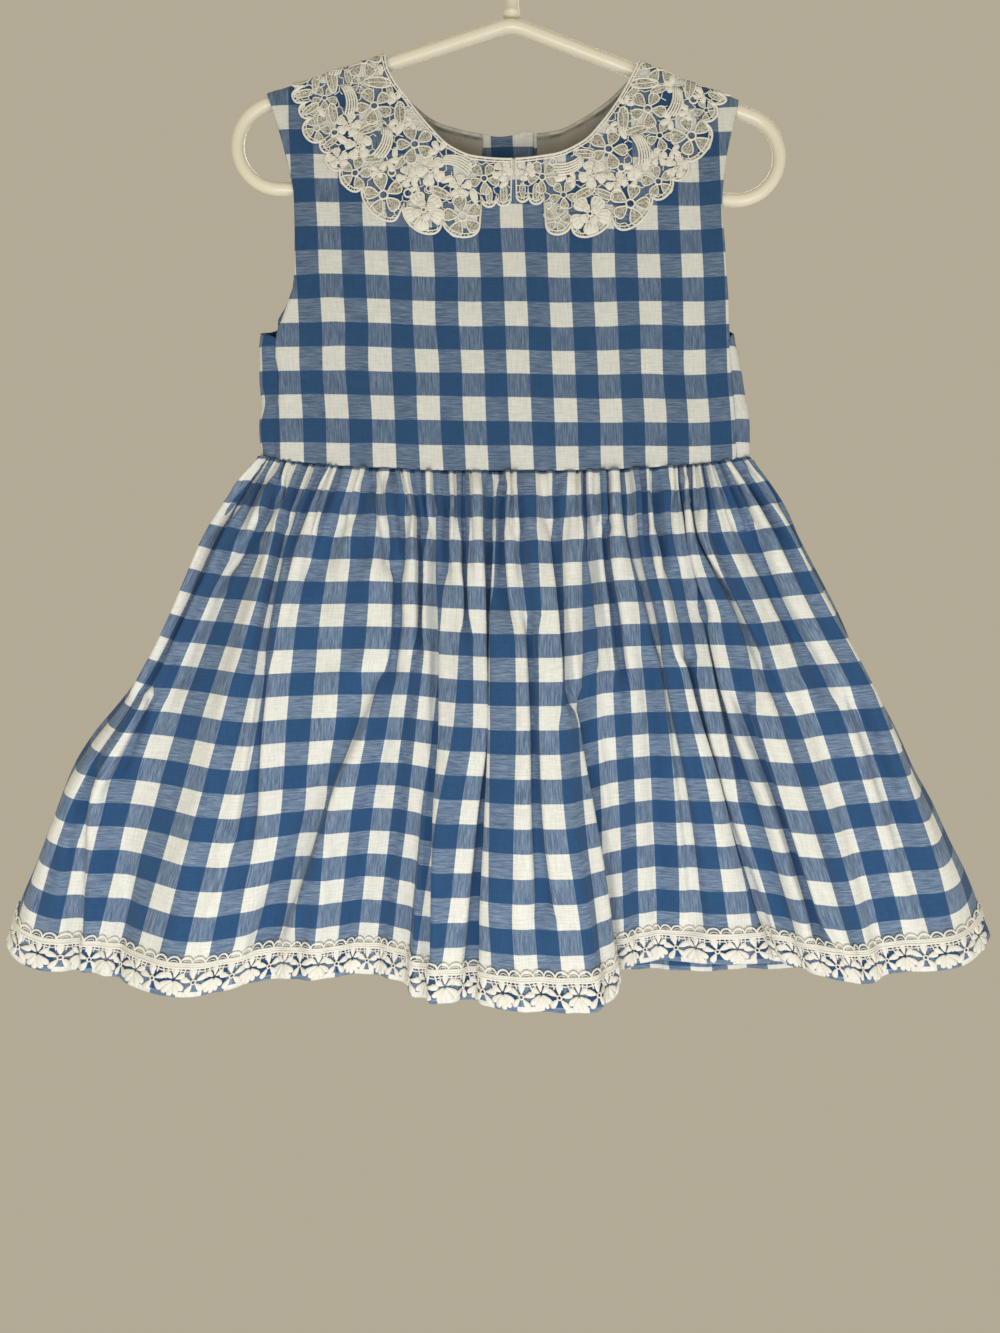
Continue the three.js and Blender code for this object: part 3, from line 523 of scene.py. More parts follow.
def marks_of(ends, side, hand, count):
    """Places of a panel's columns along its top edge, closer round the neck's corners."""
    low, high = ends
    marks = list(np.linspace(low, high, count))
    rows = NECKLINE[side]
    for end, foot in ((NECK_ENDS[LEFT], rows[0][0]), (NECK_ENDS[RIGHT], rows[-1][0])):
        if hand == 0 or (end < 0) == (hand < 0):
            marks += list(end + (foot - end) * np.linspace(0, 1, 8) ** 1.3)
    marks = np.array(sorted(marks))
    keep = np.concatenate([[True], np.diff(marks) > 0.25])
    keep[-1] = True
    return marks[keep]


def relief(x, level, side):
    """Soft unevenness of the hanging bodice, out from its smooth form."""
    fade_in = smooth((arm_height(x) - level + 3) / 20)
    x = x if side == FRONT else -1.07 * x
    below = (level - WAIST_SIDE + WAIST_SAG) / 14
    pucker = 0.4 * np.exp(-below ** 2) * noise(x / 5.5, 0.0, 11)
    seam = np.minimum(np.abs(x + 129), np.abs(x - 117))
    side_pull = 0.35 * np.exp(-(seam / 9) ** 2) * noise(level / 9, x / 40, 12)
    slack = 0.55 * noise(x / 34 + level / 90, level / 55, 13) \
        + 0.22 * noise(x / 12 + level / 40, level / 19, 14)
    drag = 0.0
    for x0, z0, x1, z1, width, depth in BODICE_FOLDS:
        along = np.array([x1 - x0, z1 - z0])
        length = np.hypot(*along)
        share = ((x - x0) * along[0] + (level - z0) * along[1]) / length ** 2
        aside = ((x - x0) * -along[1] + (level - z0) * along[0]) / length
        fade = smooth(share / 0.35) * smooth((1 - share) / 0.35)
        drag = drag + depth * fade * np.exp(-(aside / width) ** 2)
    return fade_in * (pucker + side_pull + slack + drag)


def checks_of(x, level, shift):
    """Place in the weave's checks of a point of the bodice, where they lean and sag a little."""
    start = CHECK_START["bodice"]
    across = (x - start[0] + 0.045 * (level + 223)) / CHECK["bodice"][0]
    sag = 3.4 * np.maximum(0, 1 - ((x - 15) / 125) ** 2)
    down = (-level - sag - start[1]) / CHECK["bodice"][1] \
        + 0.028 * noise(x / 24, level / 40, 15)
    across = across + 0.0037 * across ** 2 + 0.022 * noise(x / 40, level / 26, 16)
    return np.stack([across + shift[0], down + shift[1]], axis=-1)


def bodice_grid(side, inner, outer, marks, lift, shift=(0.0, 0.0)):
    """A panel of the bodice between two edges: rows of points, and their place in the checks.

    The rows run over the shoulder, then down to the waist.
    """
    share = (marks - marks[0]) / (marks[-1] - marks[0])
    level = np.full(len(share), float(ridge(-100)))
    # The top edge and the girth there depend on each other, so each is found in turn.
    for _ in range(24):
        girth = mix(inner(level), outer(level), share)
        x = np.clip(section(level)[0] + girth, SHOULDER_END[LEFT], SHOULDER_END[RIGHT])
        level = top_edge(x, side)
        shoulder = (x <= NECK_ENDS[LEFT]) | (x >= NECK_ENDS[RIGHT])
        level = level - np.where(shoulder, SEAM_GAP / 2 / SADDLE * SADDLE_RISE, 0)
    start = level - SADDLE_ARC
    foot = mix(inner(WAIST_SIDE), outer(WAIST_SIDE), share)
    end = waist_height(bodice(foot, np.full_like(foot, WAIST_SIDE), side)[:, 0])
    v = np.concatenate([np.linspace(0, 1, BODICE_ROWS[0], endpoint=False),
                        1 + np.linspace(0, 1, BODICE_ROWS[1]) ** 0.96])[:, None]
    level = np.where(v < 1, (start + SADDLE_ARC) - SADDLE_ARC * v,
                     start + (end - start) * (v - 1))
    girth = mix(inner(level), outer(level), share[None, :])
    x = section(level)[0] + girth
    points = bodice(girth, level, side, lift(x) + relief(x, level, side))
    return points, checks_of(x, level, shift)


def away_from(side):
    """A function that gives the way out of the dress, roughly, at points of one side."""
    def outward(points):
        """Out of this side, up, and sideways near the bodice's side folds."""
        x = points[..., 0]
        sideways = np.where(x > 119, 0.2, 0) - np.where(x < -136, 0.2, 0)
        return np.stack([sideways, np.full_like(x, side), np.full_like(x, 0.4)], axis=-1)
    return outward


def edge_distance(points):
    """Distance of each grid point from the grid's first and last columns, along the rows."""
    step = np.linalg.norm(np.diff(points, axis=1), axis=-1)
    along = np.concatenate([np.zeros((len(points), 1)), np.cumsum(step, axis=1)], axis=1)
    return np.minimum(along, along[:, -1:] - along)


def hemmed(distance):
    """Cloth thickness at a distance from an edge that is turned in."""
    step = 1.5
    return size("cloth") + 0.5 * (1 - smooth((distance - size("turning")) / step))


# ---------- the skirt ----------


def waist_depth(x):
    """How far the bodice stands out from the middle plane at the waist seam."""
    centre, half, fold = section(WAIST_SIDE)
    across = np.abs(x - centre)
    inside = np.abs(bodice(x - centre, np.full_like(x, WAIST_SIDE), 1)[..., 1])
    return np.where(across <= half, inside,
                    np.sqrt(np.maximum(0, fold ** 2 - (across - half) ** 2)))


def spread(side, cloth, down):
    """x of the cloth across the skirt, down to the hem."""
    left, right = SIDE_LINES[LEFT].read("x", down), SIDE_LINES[RIGHT].read("x", down)
    taken = cloth if side == FRONT else SKIRT_CUT - cloth
    rows = np.stack([SPREAD.read(level, taken) for level in SPREAD_LEVELS])
    x = curve(np.array(SPREAD_LEVELS), rows, down)
    if side == BACK:
        x = mix(x[:1] + (x[-1:] - x[:1]) * down[:, None], x, 0.35)
        share = (x[:, :1] - x) / (x[:, :1] - x[:, -1:])
        x = left[:, None] + (right - left)[:, None] * share
    x = x + (left - x[:, 0])[:, None] * (1 - smooth(cloth / 30))
    return x + (right - x[:, -1])[:, None] * (1 - smooth((SKIRT_CUT - cloth) / 30))


def from_seam(cloth):
    """How far a place across the skirt's cut is from the nearer side seam."""
    return np.minimum(cloth, SKIRT_CUT - cloth)


def skirt_base(side, cloth, down):
    """The skirt's smooth form: x, distance out from the middle plane, and height."""
    x = spread(side, cloth, down)
    d = down[:, None]
    waist = x[:1]
    table = FOLDS[side]
    depth, low = table.read("depth", cloth), table.read("low", cloth)
    top = waist_height(waist) - WAIST_GAP
    z = top + (low - top) * d
    turned = np.clip(from_seam(cloth) / SIDE_ROUND, 0, 1)
    round_ = np.sqrt(1 - (1 - turned) ** 2)
    start = np.maximum(waist_depth(waist), SIDE_FOLD)
    out = (start + (depth - start) * d ** SKIRT_EASE) * round_
    return x, SEAM_GAP / 2 + out, z


def dive(t):
    """Slope of the cloth across a crease of unit half width: in, then out again."""
    return t * np.exp((1 - t ** 4) / 4)


def blurred(values, reach, step):
    """A running mean along each row, over a soft window."""
    half = int(3 * reach / step)
    window = np.exp(-0.5 * (np.arange(-half, half + 1) * step / reach) ** 2)
    window /= window.sum()
    padded = np.concatenate([2 * values[:, :1] - values[:, half:0:-1], values,
                             2 * values[:, -1:] - values[:, -2:-half - 2:-1]], axis=1)
    return np.stack([np.convolve(row, window, "valid") for row in padded])


def gathers(cloth, seed, pitch, narrow):
    """Slopes of uneven flat-topped gathers, about one to a pitch, with narrow dips between."""
    rate = 1 + 0.35 * noise(cloth / (2.3 * pitch), 0.0, seed)
    step = np.diff(cloth, prepend=cloth[0])
    phase = np.cumsum(rate * step) / pitch
    return dive((phase % 1 - 0.5) * narrow)[None, :]


def skirt_waves(side, cloth, down):
    """The cloth's slopes across the skirt, from gathers and creases, and the creases' lean."""
    seed = 21 if side == FRONT else 31
    fine = gathers(cloth, seed, size("gather_pitch"), 3.9)
    mid = gathers(cloth, seed + 1, size("tuck_pitch"), 4.2)
    wide = gathers(cloth, seed + 2, size("fold_pitch"), 3.8)
    height = 1 + 0.55 * noise(cloth / 23, 0.0, seed + 3)[None, :]
    tuck = np.clip(0.75 + 1.1 * noise(cloth / 8.3, 0.0, seed + 4)[None, :], 0.1, 1.6)
    reach = 0.06 + 0.08 * tuck
    # Gathers near the seam, tucks below them, and small folds all the way down.
    waves = 2.3 * fine * tuck * (1 - smooth(down / reach)) \
        + 0.5 * mid * height * smooth(down / 0.05) * (1 - smooth((down - 0.04) / 0.22)) \
        + 0.06 * mid + 0.07 * wide
    leaning = np.zeros_like(waves)
    for start, end, top, foot, width, strength, lean in CREASES[side]:
        share = (down - start) / (min(end, 1.0) - start)
        centre = top + (foot - top) * np.clip(share, 0, 1)
        t = (cloth[None, :] - centre) / ((width + 1.0) * (1.15 - 0.1 * down))
        begin = start if start > 0.04 else start - 0.07
        fade = smooth((down - begin) / 0.07) * smooth((end - down) / 0.12)
        waves = waves + 1.15 * strength * fade * dive(t)
        leaning = leaning + lean * fade * np.exp(-(t / 1.5) ** 4)
    edge = smooth((from_seam(cloth) - 4) / 16)[None, :]
    return waves * edge, leaning * edge


def skirt_rows():
    """Rows down the skirt, closer at the gathers and under the hem's lace."""
    return np.concatenate([np.linspace(0, 0.1, 12)[:-1], np.linspace(0.1, 0.9, 40)[:-1],
                           np.linspace(0.9, 1, 13)])


def skirt_grid(side, down):
    """The skirt's cloth: rows of points whose spacing is true to the cut.

    Waves turn the cloth to and fro until its way across is as long as the cut asks.
    """
    cloth = np.linspace(0, SKIRT_CUT, SKIRT_COLUMNS)
    step = cloth[1]
    d = down[:, None]
    x0, out0, z = skirt_base(side, cloth, down)
    slope_x, slope_out = np.gradient(x0, step, axis=1), np.gradient(out0, step, axis=1)
    slope_x, slope_out = blurred(slope_x, 9, step), blurred(slope_out, 9, step)
    aim = np.minimum(np.hypot(slope_x, slope_out), 1)
    bearing = np.arctan2(slope_out, slope_x)
    waves, leaning = skirt_waves(side, cloth, d)
    low, high = np.zeros_like(waves), np.full_like(waves, 6.0)
    limit = 1.42    # the steepest that cloth turns, in radians
    for _ in range(12):
        middle = (low + high) / 2
        angle = limit * np.tanh(middle * waves / limit)
        flat = blurred(np.cos(angle), 16, step) > aim
        low, high = np.where(flat, middle, low), np.where(flat, high, middle)
    strength = blurred((low + high) / 2, 8, step)
    angle = bearing + leaning + limit * np.tanh(strength * waves / limit)
    x = np.cumsum(np.cos(angle), axis=1) * step
    out = np.cumsum(np.sin(angle), axis=1) * step
    x += blurred(x0 - x, 10, step)
    rise = out + blurred(out0 - out, 20, step) - out0
    depth = size("gather_depth")
    rise = np.where(rise < 0, depth * np.tanh(rise / depth), rise)
    crest = blurred(np.maximum(rise, 0), 30, step) * 1.1
    near_seam = 0.8 + 0.2 * smooth(d / 0.06)
    crumple = 0.45 * noise(cloth / 14 + 2 * d, d * 13, 23) + 0.25 * noise(cloth / 6, d * 22, 24)
    rise = rise + crumple * smooth(d / 0.05)
    edge = smooth(from_seam(cloth) / 10)[None, :]
    x = mix(x0, x, edge)
    out = out0 + (rise - crest * smooth(d / 0.2)) * near_seam * edge
    inside = 0.7 + 0.02 * out0
    out = np.where(edge < 0.999, out, inside + np.logaddexp(0, (out - inside) / 1.2) * 1.2)
    points = np.stack([x, side * out, z], axis=-1)
    start = CHECK_START["skirt"]
    across = (cloth[None, :] - start[0]) / CHECK["skirt"][0]
    along = (d * SKIRT_LENGTH - start[1]) / CHECK["skirt"][1]
    return points, np.stack(np.broadcast_arrays(across, along), axis=-1)


# ---------- shader maths ----------


def does(operation, swapped=False):
    """A method of Maths that adds one Math node for it and what it is joined to."""
    def method(self, *others):
        """The result of the Math node."""
        values = (*others, self) if swapped else (self, *others)
        node = self.tree.add("ShaderNodeMath", {"operation": operation}, values)
        return Maths(self.tree, node.outputs[0])
    return method


class Maths:
    """A number in a node tree that can be added, scaled and compared like any other."""

    __add__, __radd__ = does("ADD"), does("ADD", True)
    __sub__, __rsub__ = does("SUBTRACT"), does("SUBTRACT", True)
    __mul__, __rmul__ = does("MULTIPLY"), does("MULTIPLY", True)
    highest, lowest = does("MAXIMUM"), does("MINIMUM")
    sine, part, magnitude = does("SINE"), does("FRACT"), does("ABSOLUTE")

    def __init__(self, tree, socket):
        self.tree, self.socket = tree, socket

    def above(self, edge, blur):
        """0 below edge and 1 above it, changing over blur."""
        node = self.tree.add("ShaderNodeMapRange", {"interpolation_type": "SMOOTHSTEP"},
                             (self, edge - blur, edge + blur, 0.0, 1.0))
        return Maths(self.tree, node.outputs[0])


class Tree:
    """A new material and its node tree, with one way to add any node."""

    def __init__(self, name):
        self.material = bpy.data.materials.new(name)
        self.material.use_nodes = True
        tree = self.material.node_tree
        self.nodes, self.links = tree.nodes, tree.links
        self.surface = self.nodes["Principled BSDF"]

    def add(self, kind, settings=None, values=()):
        """A node with its settings, and values or links for its inputs, by place or name."""
        node = self.nodes.new(kind)
        for name, value in (settings or {}).items():
            setattr(node, name, value)
        named = values.items() if isinstance(values, dict) else enumerate(values)
        for key, value in named:
            self.connect(value, node.inputs[key])
        return node

    def connect(self, value, socket):
        """Sets a socket to a value, or links it to one."""
        if isinstance(value, Maths):
            value = value.socket
        if isinstance(value, bpy.types.NodeSocket):
            self.links.new(value, socket)
        else:
            socket.default_value = value

    def number(self, node, output=0):
        """A node's output as a number for expressions."""
        return Maths(self, node.outputs[output])

    def noise(self, vector, scale, detail=2.0, rough=0.5):
        """Noise from 0 to 1 at a place."""
        node = self.add("ShaderNodeTexNoise", None, {
            "Vector": vector, "Scale": scale, "Detail": detail, "Roughness": rough})
        return self.number(node)

    def weave(self):
        """The place in the weave, as one vector and as two numbers, across and down."""
        uv = self.add("ShaderNodeUVMap", {"uv_map": "weave"}).outputs[0]
        axes = self.add("ShaderNodeSeparateXYZ", None, (uv,))
        return uv, self.number(axes, 0), self.number(axes, 1)

    def place(self):
        """The place in the piece's own space, in metres."""
        return self.add("ShaderNodeTexCoord").outputs["Object"]

    def stretched(self, vector, scale):
        """A place with each axis scaled."""
        node = self.add("ShaderNodeVectorMath", {"operation": "MULTIPLY"}, (vector, scale))
        return node.outputs[0]

    def blend(self, factor, low, high, mode="MIX"):
        """A colour from low, at factor 0, to high, at 1."""
        node = self.add("ShaderNodeMix", {"data_type": "RGBA", "blend_type": mode})
        for value, index in ((factor, 0), (low, 6), (high, 7)):
            self.connect(value, node.inputs[index])
        return node.outputs[2]

    def bump(self, height, distance, strength=1.0):
        """A normal that follows a height from 0 to 1."""
        node = self.add("ShaderNodeBump", None, {
            "Strength": strength, "Distance": distance, "Height": height})
        return node.outputs["Normal"]

    def finish(self, color, roughness, normal=None, **constants):
        """The material, with what varies joined to its surface and other sockets set."""
        self.connect(color, self.surface.inputs["Base Color"])
        self.connect(roughness, self.surface.inputs["Roughness"])
        if normal is not None:
            self.links.new(normal, self.surface.inputs["Normal"])
        for name, value in constants.items():
            self.surface.inputs[name.replace("_", " ")].default_value = value
        return self.material


def linear(color):
    """A colour given as it looks, in linear light, with alpha."""
    return tuple(c / 12.92 if c <= 0.04045 else ((c + 0.055) / 1.055) ** 2.4
                 for c in color) + (1.0,)


def shades(color, share):
    """A colour and a darker one, in linear light."""
    return linear(color), linear([c * share for c in color])


def gingham_material(look, name="gingham", painted_light_gain=1.0):
    """Woven checks: blue and white threads, and a mixture where the two kinds cross.

    Each whole number of the weave's coordinates is one repeat of the check. A gain above 1 paints
    light into the colours.
    """
    tree = Tree(name)
    uv, u, v = tree.weave()
    threads = look.threads
    wander = (tree.noise(tree.stretched(uv, (1.2, 1.2, 1)), 1.0, 2.0) - 0.5) * 0.012
    rough_u = (tree.noise(tree.stretched(uv, (4, 60, 1)), 1.0, 1.0) - 0.5) * 0.02
    rough_v = (tree.noise(tree.stretched(uv, (60, 4, 1)), 1.0, 1.0) - 0.5) * 0.02
    stripes = []
    for place in (u + wander + rough_u, v + wander + rough_v):
        aside = (place.part() - 0.25).magnitude()
        stripes.append(aside.lowest(1.0 - aside).above(0.25, 0.008))
    stripe_u, stripe_v = stripes
    wave_u, wave_v = ((axis * (threads * TAU)).sine() for axis in (u, v))
    warp, weft = wave_u * 0.5 + 0.5, wave_v * 0.5 + 0.5
    slub_u = tree.noise(tree.stretched(uv, (threads * 0.7, 2.4, 1)), 1.0, 3.0, 0.75)
    slub_v = tree.noise(tree.stretched(uv, (2.4, threads * 0.7, 1)), 1.0, 3.0, 0.75)
    over = wave_u * wave_v * 0.5 + 0.5
    raised = slub_u * (1.3 - stripe_u) - slub_v * (1.3 - stripe_v)
    upper = over * 0.5 + 0.25 + raised * 0.75 + (stripe_u - stripe_v) * 0.55
    # The gain lightens all three colours, the crossed one twice over: painted light, which makes
    # the skirt's copy of the same cloth paler than the bodice's.
    blue, white = (linear([c * painted_light_gain for c in color]) for color in (look.blue, look.white))
    crossed = linear([c * painted_light_gain ** 2 for c in look.crossed])
    warp_color = tree.blend(stripe_u, tree.blend(stripe_v, white, crossed), blue)
    weft_color = tree.blend(stripe_v, tree.blend(stripe_u, white, crossed), blue)
    color = tree.blend(upper.above(0.5, 0.55), weft_color, warp_color)
    shade = (slub_u + slub_v - 1.0) * 0.5 + (warp + weft - 1.0) * 0.05 + 1.0
    fade = tree.noise(tree.stretched(uv, (0.35, 0.35, 1)), 1.0, 3.0, 0.6) * 0.10 + 0.95
    tone = tree.add("ShaderNodeCombineColor", None, (shade * fade, shade * fade, shade * fade))
    color = tree.blend(1.0, color, tone.outputs[0], "MULTIPLY")
    height = over * 0.5 + slub_u * 0.7 + slub_v * 0.7
    return tree.finish(color, slub_u * 0.1 + 0.82, tree.bump(height, 0.00022, 0.7),
                       Sheen_Weight=0.15, Sheen_Roughness=0.5, Specular_IOR_Level=0.25)


# How all plain cotton takes the light.
MATT = {"Sheen_Weight": 0.1, "Specular_IOR_Level": 0.25}


def thread_material(name, color):
    """Twisted cotton thread, seen on lace and stitches."""
    tree = Tree(name)
    place = tree.place()
    twist = tree.noise(place, 2600.0, 3.0, 0.6)
    patch = tree.noise(place, 90.0, 3.0, 0.55)
    light, dark = linear(color), linear([c * (0.80 - 0.012 * i) for i, c in enumerate(color)])
    tone = tree.blend((twist * 0.9 + patch * 0.7 - 0.3) * 0.5 + 0.4, dark, light)
    return tree.finish(tone, patch * 0.12 + 0.78, tree.bump(twist, 0.0002, 0.8), **MATT)


def net_material(look):
    """Fine net: pale thread round small holes, painted darker as shade."""
    tree = Tree("lace_net")
    place = tree.place()
    cells = tree.add("ShaderNodeTexVoronoi", {"feature": "DISTANCE_TO_EDGE"},
                     {"Vector": place, "Scale": 620.0})
    patch = tree.noise(place, 160.0, 3.0, 0.6)
    # Cell middles are the holes, painted in the darker colour as shade.
    hole = tree.number(cells).above(0.16, 0.12)
    light, dark = shades(look.net, 0.62)
    color = tree.blend(hole * (patch * 1.1 + 0.25), light, dark)
    return tree.finish(color, patch * 0.12 + 0.8, tree.bump(1.0 - hole, 0.0003, 0.8), **MATT)


def cotton_material(look):
    """Plain white lining cotton, on the weave's own coordinates, with a pale seam line and a line
    of painted shade beside it.
    """
    tree = Tree("white_cotton")
    uv, u, v = tree.weave()
    over = (u * (look.threads * TAU)).sine() * (v * (look.threads * TAU)).sine()
    patch = tree.noise(tree.stretched(uv, (1.4, 1.4, 1)), 1.0, 4.0, 0.6)
    slub = tree.noise(tree.stretched(uv, (40, 3, 1)), 1.0, 2.0)
    light, dark = shades(look.facing, 0.80)
    color = tree.blend(patch * 0.7 + slub * 0.5 - 0.1, dark, light)
    seam = tree.number(tree.add("ShaderNodeAttribute", {"attribute_name": "seam"}), 2)
    # Where the seam mark is above 0 the cotton turns to the lace's colour, a pale seam line;
    # where it is below 0 it darkens: painted shade beside the seam.
    color = tree.blend((seam * 0.8).highest(0.0), color, linear(look.lace))
    color = tree.blend((seam * -0.7).highest(0.0), color, shades(look.facing, 0.5)[1])
    rise = over + slub * 1.5 + patch * 3.0
    return tree.finish(color, patch * 0.1 + 0.82, tree.bump(rise, 0.0003, 0.8), **MATT)


def plastic_material(look):
    """Moulded white plastic with faint flow marks and scuffs."""
    tree = Tree("hanger_plastic")
    place = tree.place()
    flow = tree.noise(place, 14.0, 2.0)
    scuff = tree.noise(tree.stretched(place, (1, 1, 1.6)), 420.0, 4.0, 0.65)
    worn = scuff.above(0.64, 0.05)
    light, dark = shades(look.plastic, 0.93)
    color = tree.blend(flow * 0.7 + worn * 0.3, light, dark)
    return tree.finish(color, worn * 0.12 + flow * 0.06 + 0.24, tree.bump(scuff, 0.00012, 0.15),
                       Specular_IOR_Level=0.5, Coat_Weight=0.15, Coat_Roughness=0.12)


def button_material(look):
    """Pearly button plastic."""
    tree = Tree("button")
    place = tree.place()
    cloud = tree.noise(place, 160.0, 3.0, 0.6)
    band = (tree.noise(place, 60.0, 2.0) * 30.0).sine() * 0.5 + 0.5
    light, dark = shades(look.button, 0.9)
    color = tree.blend(cloud * 0.6 + band * 0.3, light, dark)
    return tree.finish(color, cloud * 0.1 + 0.18, tree.bump(cloud, 0.00005, 0.2),
                       Specular_IOR_Level=0.5, Coat_Weight=0.3, Coat_Roughness=0.08)


def floor_material():
    """Plain pale floor."""
    tree = Tree("floor")
    place = tree.place()
    grain = tree.noise(place, 40.0, 3.0)
    color = tree.blend(grain, linear((0.74, 0.71, 0.64)), linear((0.78, 0.75, 0.68)))
    return tree.finish(color, 0.9)


MATERIALS = {}


def shared(name):
    """The named material, made once."""
    makers = {
        "gingham": gingham_material, "white_cotton": cotton_material,
        # The skirt's copy of the gingham, lightened by the gain as painted light.
        "gingham_skirt_painted_lighter": lambda look: gingham_material(look, "gingham_skirt_painted_lighter", look.skirt_painted_light_gain),
        "hanger_plastic": plastic_material, "button": button_material,
        "white_lace": lambda look: thread_material("white_lace", look.lace),
        "hem_thread": lambda look: thread_material("hem_thread", look.hem_lace),
        "lace_net": net_material,
        "sewing_thread": lambda look: thread_material("sewing_thread", look.stitch),
    }
    if name not in MATERIALS:
        MATERIALS[name] = makers[name](bpy.context.scene.dress_look)
    return MATERIALS[name]


def dressed(obj, name):
    """Gives a piece its material."""
    obj.data.materials.append(shared(name))


# ---------- hanger ----------


def tilted(points):
    """Points (x, z) of the straight hanger, turned as it hangs, in three dimensions."""
    x, z = np.asarray(points, float).T
    c, s = math.cos(HANGER_TILT), math.sin(HANGER_TILT)
    return np.stack([x * c + z * s, np.zeros_like(x), -x * s + z * c], axis=-1)


def resampled(path, spacing, closed=False):
    """Points spaced evenly along a path, on a smooth curve through its points."""
    if closed:
        path = np.concatenate([path[-3:], path, path[:3]])
    along = distance_along(path)
    start, end = (along[3], along[-3]) if closed else (0, along[-1])
    count = max(2, int(round((end - start) / spacing)))
    at = np.linspace(start, end, count + 1)[: count if closed else count + 1]
    axes = [Table(("at", "value"), list(zip(along, path[:, k]))) for k in range(3)]
    return np.stack([axis.read("value", at) for axis in axes], axis=-1)


def swept(path, radii, sides, closed, up=(0.0, 1.0, 0.0)):
    """Points and faces of a round tube along a path in the plane across up."""
    before = np.roll(path, 1, axis=0)
    after = np.roll(path, -1, axis=0)
    if not closed:
        before[0], after[-1] = path[0], path[-1]
    aside = unit(np.cross(unit(after - before), up))
    angle = around(sides)
    radii = np.broadcast_to(radii, len(path))[:, None, None]
    ring = path[:, None, :] + radii * (
        np.cos(angle)[None, :, None] * aside[:, None, :]
        + np.sin(angle)[None, :, None] * np.array(up))
    count = len(path)
    i = np.arange(count if closed else count - 1)[:, None]
    j = np.arange(sides)[None, :]
    k, m = (i + 1) % count, (j + 1) % sides
    faces = list(faces_of(i * sides + j, i * sides + m, k * sides + m, k * sides + j))
    if not closed:
        faces += [np.arange(sides)[::-1], (count - 1) * sides + np.arange(sides)]
    return ring.reshape(-1, 3), faces


def bow_path():
    """Centre line of the bow, before it is tilted: two arms, two round ends and the bar."""
    r, slope = LOOP["radius"], ARM_SLOPE
    tangent = (LOOP["x"] + r * math.sin(slope), LOOP["z"] + r * math.cos(slope))
    angle = np.linspace(math.pi / 2 - slope, -math.pi / 2, 44)
    loop = np.stack([LOOP["x"] + r * np.cos(angle), LOOP["z"] + r * np.sin(angle)], axis=-1)
    bend = APEX_ROUNDING
    arm = np.linspace(0, 1, 30)[1:-1, None]
    start = np.array([bend, HANGER_APEX - bend * math.tan(slope)])
    arm = start + (np.array(tangent) - start) * arm
    corner = [(x, HANGER_APEX - math.tan(slope) * (x * x + bend ** 2) / (2 * bend))
              for x in np.linspace(0, bend, 6)]
    bar = [(x, LOOP["z"] - r) for x in np.linspace(LOOP["x"], 0, 24)[1:]]
    right = np.array([*corner, *arm, *loop, *bar])
    return tilted(np.concatenate([right, right[-2:0:-1] * [-1, 1]]))


def build_bow():
    """The bow: one closed tube."""
    points, faces = swept(bow_path(), TUBE_RADIUS, TUBE_SIDES, True)
    return plain_mesh("bow_tube", points, faces)


def build_hook():
    """The hook, its shank and the moulded foot that spreads over the bow's apex."""
    radius = HOOK_INNER + TUBE_RADIUS
    angle = np.radians(np.linspace(-50, 205, 60))
    arc = np.stack([radius * np.cos(angle), -HOOK_INNER + radius * np.sin(angle)], axis=-1)
    shank = [(0, HANGER_APEX + 4.35), (0, -63), (0, -60), (0, -56), (0.6, -47), (3.6, -38.5),
             (8, -34.2)]
    path = resampled(tilted([*shank, *arc]), 1.6)
    along = distance_along(path)
    foot = 1.3 * np.exp(-(along / 2.6) ** 2)
    tip = np.clip((along[-1] - along) / TUBE_RADIUS, 0, 1)
    radii = TUBE_RADIUS * np.sqrt(1 - (1 - tip) ** 2 * 0.9) + foot
    points, faces = swept(path, radii, TUBE_SIDES, False)
    return plain_mesh("hook_tube", points, faces)


# ---------- lace, drawn flat ----------


# Domes over an outline: rings as scale and share of the height, from the foot up.
SOFT_DOME = ((1.0, 0.0), (0.82, 0.72), (0.4, 1.0))
FULL_DOME = ((1.0, 0.0), (0.9, 0.7), (0.5, 1.0))
FLAT_DOME = ((1.0, 0.0), (0.98, 0.7), (0.78, 1.0))


class Shape:
    """A piece of lace as it grows: x and y lie in the lace, z stands up from the cloth."""

    def __init__(self):
        self.points, self.faces, self.net, self.count = [], [], [], 0

    def add(self, points, faces, net=False):
        """Takes in more points and faces, of cord or of net."""
        self.points.append(np.asarray(points, float))
        self.faces += [np.asarray(face) + self.count for face in faces]
        self.net += [net] * len(faces)
        self.count += len(points)

    def cord(self, path, radius, closed=False, sides=5, height=None):
        """A round cord along a path in the plane."""
        path = np.asarray(path, float)
        level = radius * 0.8 if height is None else height
        path = np.column_stack([path, np.broadcast_to(level, len(path))])
        self.add(*swept(path, radius, sides, closed, (0.0, 0.0, 1.0)))

    def pad(self, outline, height, base=0.0, net=False, rings=SOFT_DOME):
        """A low closed dome over an outline."""
        centre = outline.mean(axis=0)
        count = len(outline)
        points = [np.column_stack([centre + (outline - centre) * scale,
                                   np.full(count, base + height * share)])
                  for scale, share in rings]
        points.append([[*centre, base + height * 1.03], [*centre, base]])
        top, foot = count * len(rings), count * len(rings) + 1
        i = np.arange(count)
        j = (i + 1) % count
        faces = []
        for ring in range(len(rings) - 1):
            low, high = ring * count, (ring + 1) * count
            faces += list(faces_of(low + i, low + j, high + j, high + i))
        last = count * (len(rings) - 1)
        faces += [*faces_of(last + i, last + j, top), *faces_of(j, i, foot)]
        self.add(np.concatenate(points), faces, net)

    def source(self, name):
        """The piece as a mesh object, ready to be repeated."""
        obj = plain_mesh(name, np.concatenate(self.points), self.faces)
        mark = obj.data.attributes.new("net", "BOOLEAN", "FACE")
        mark.data.foreach_set("value", self.net)
        return obj


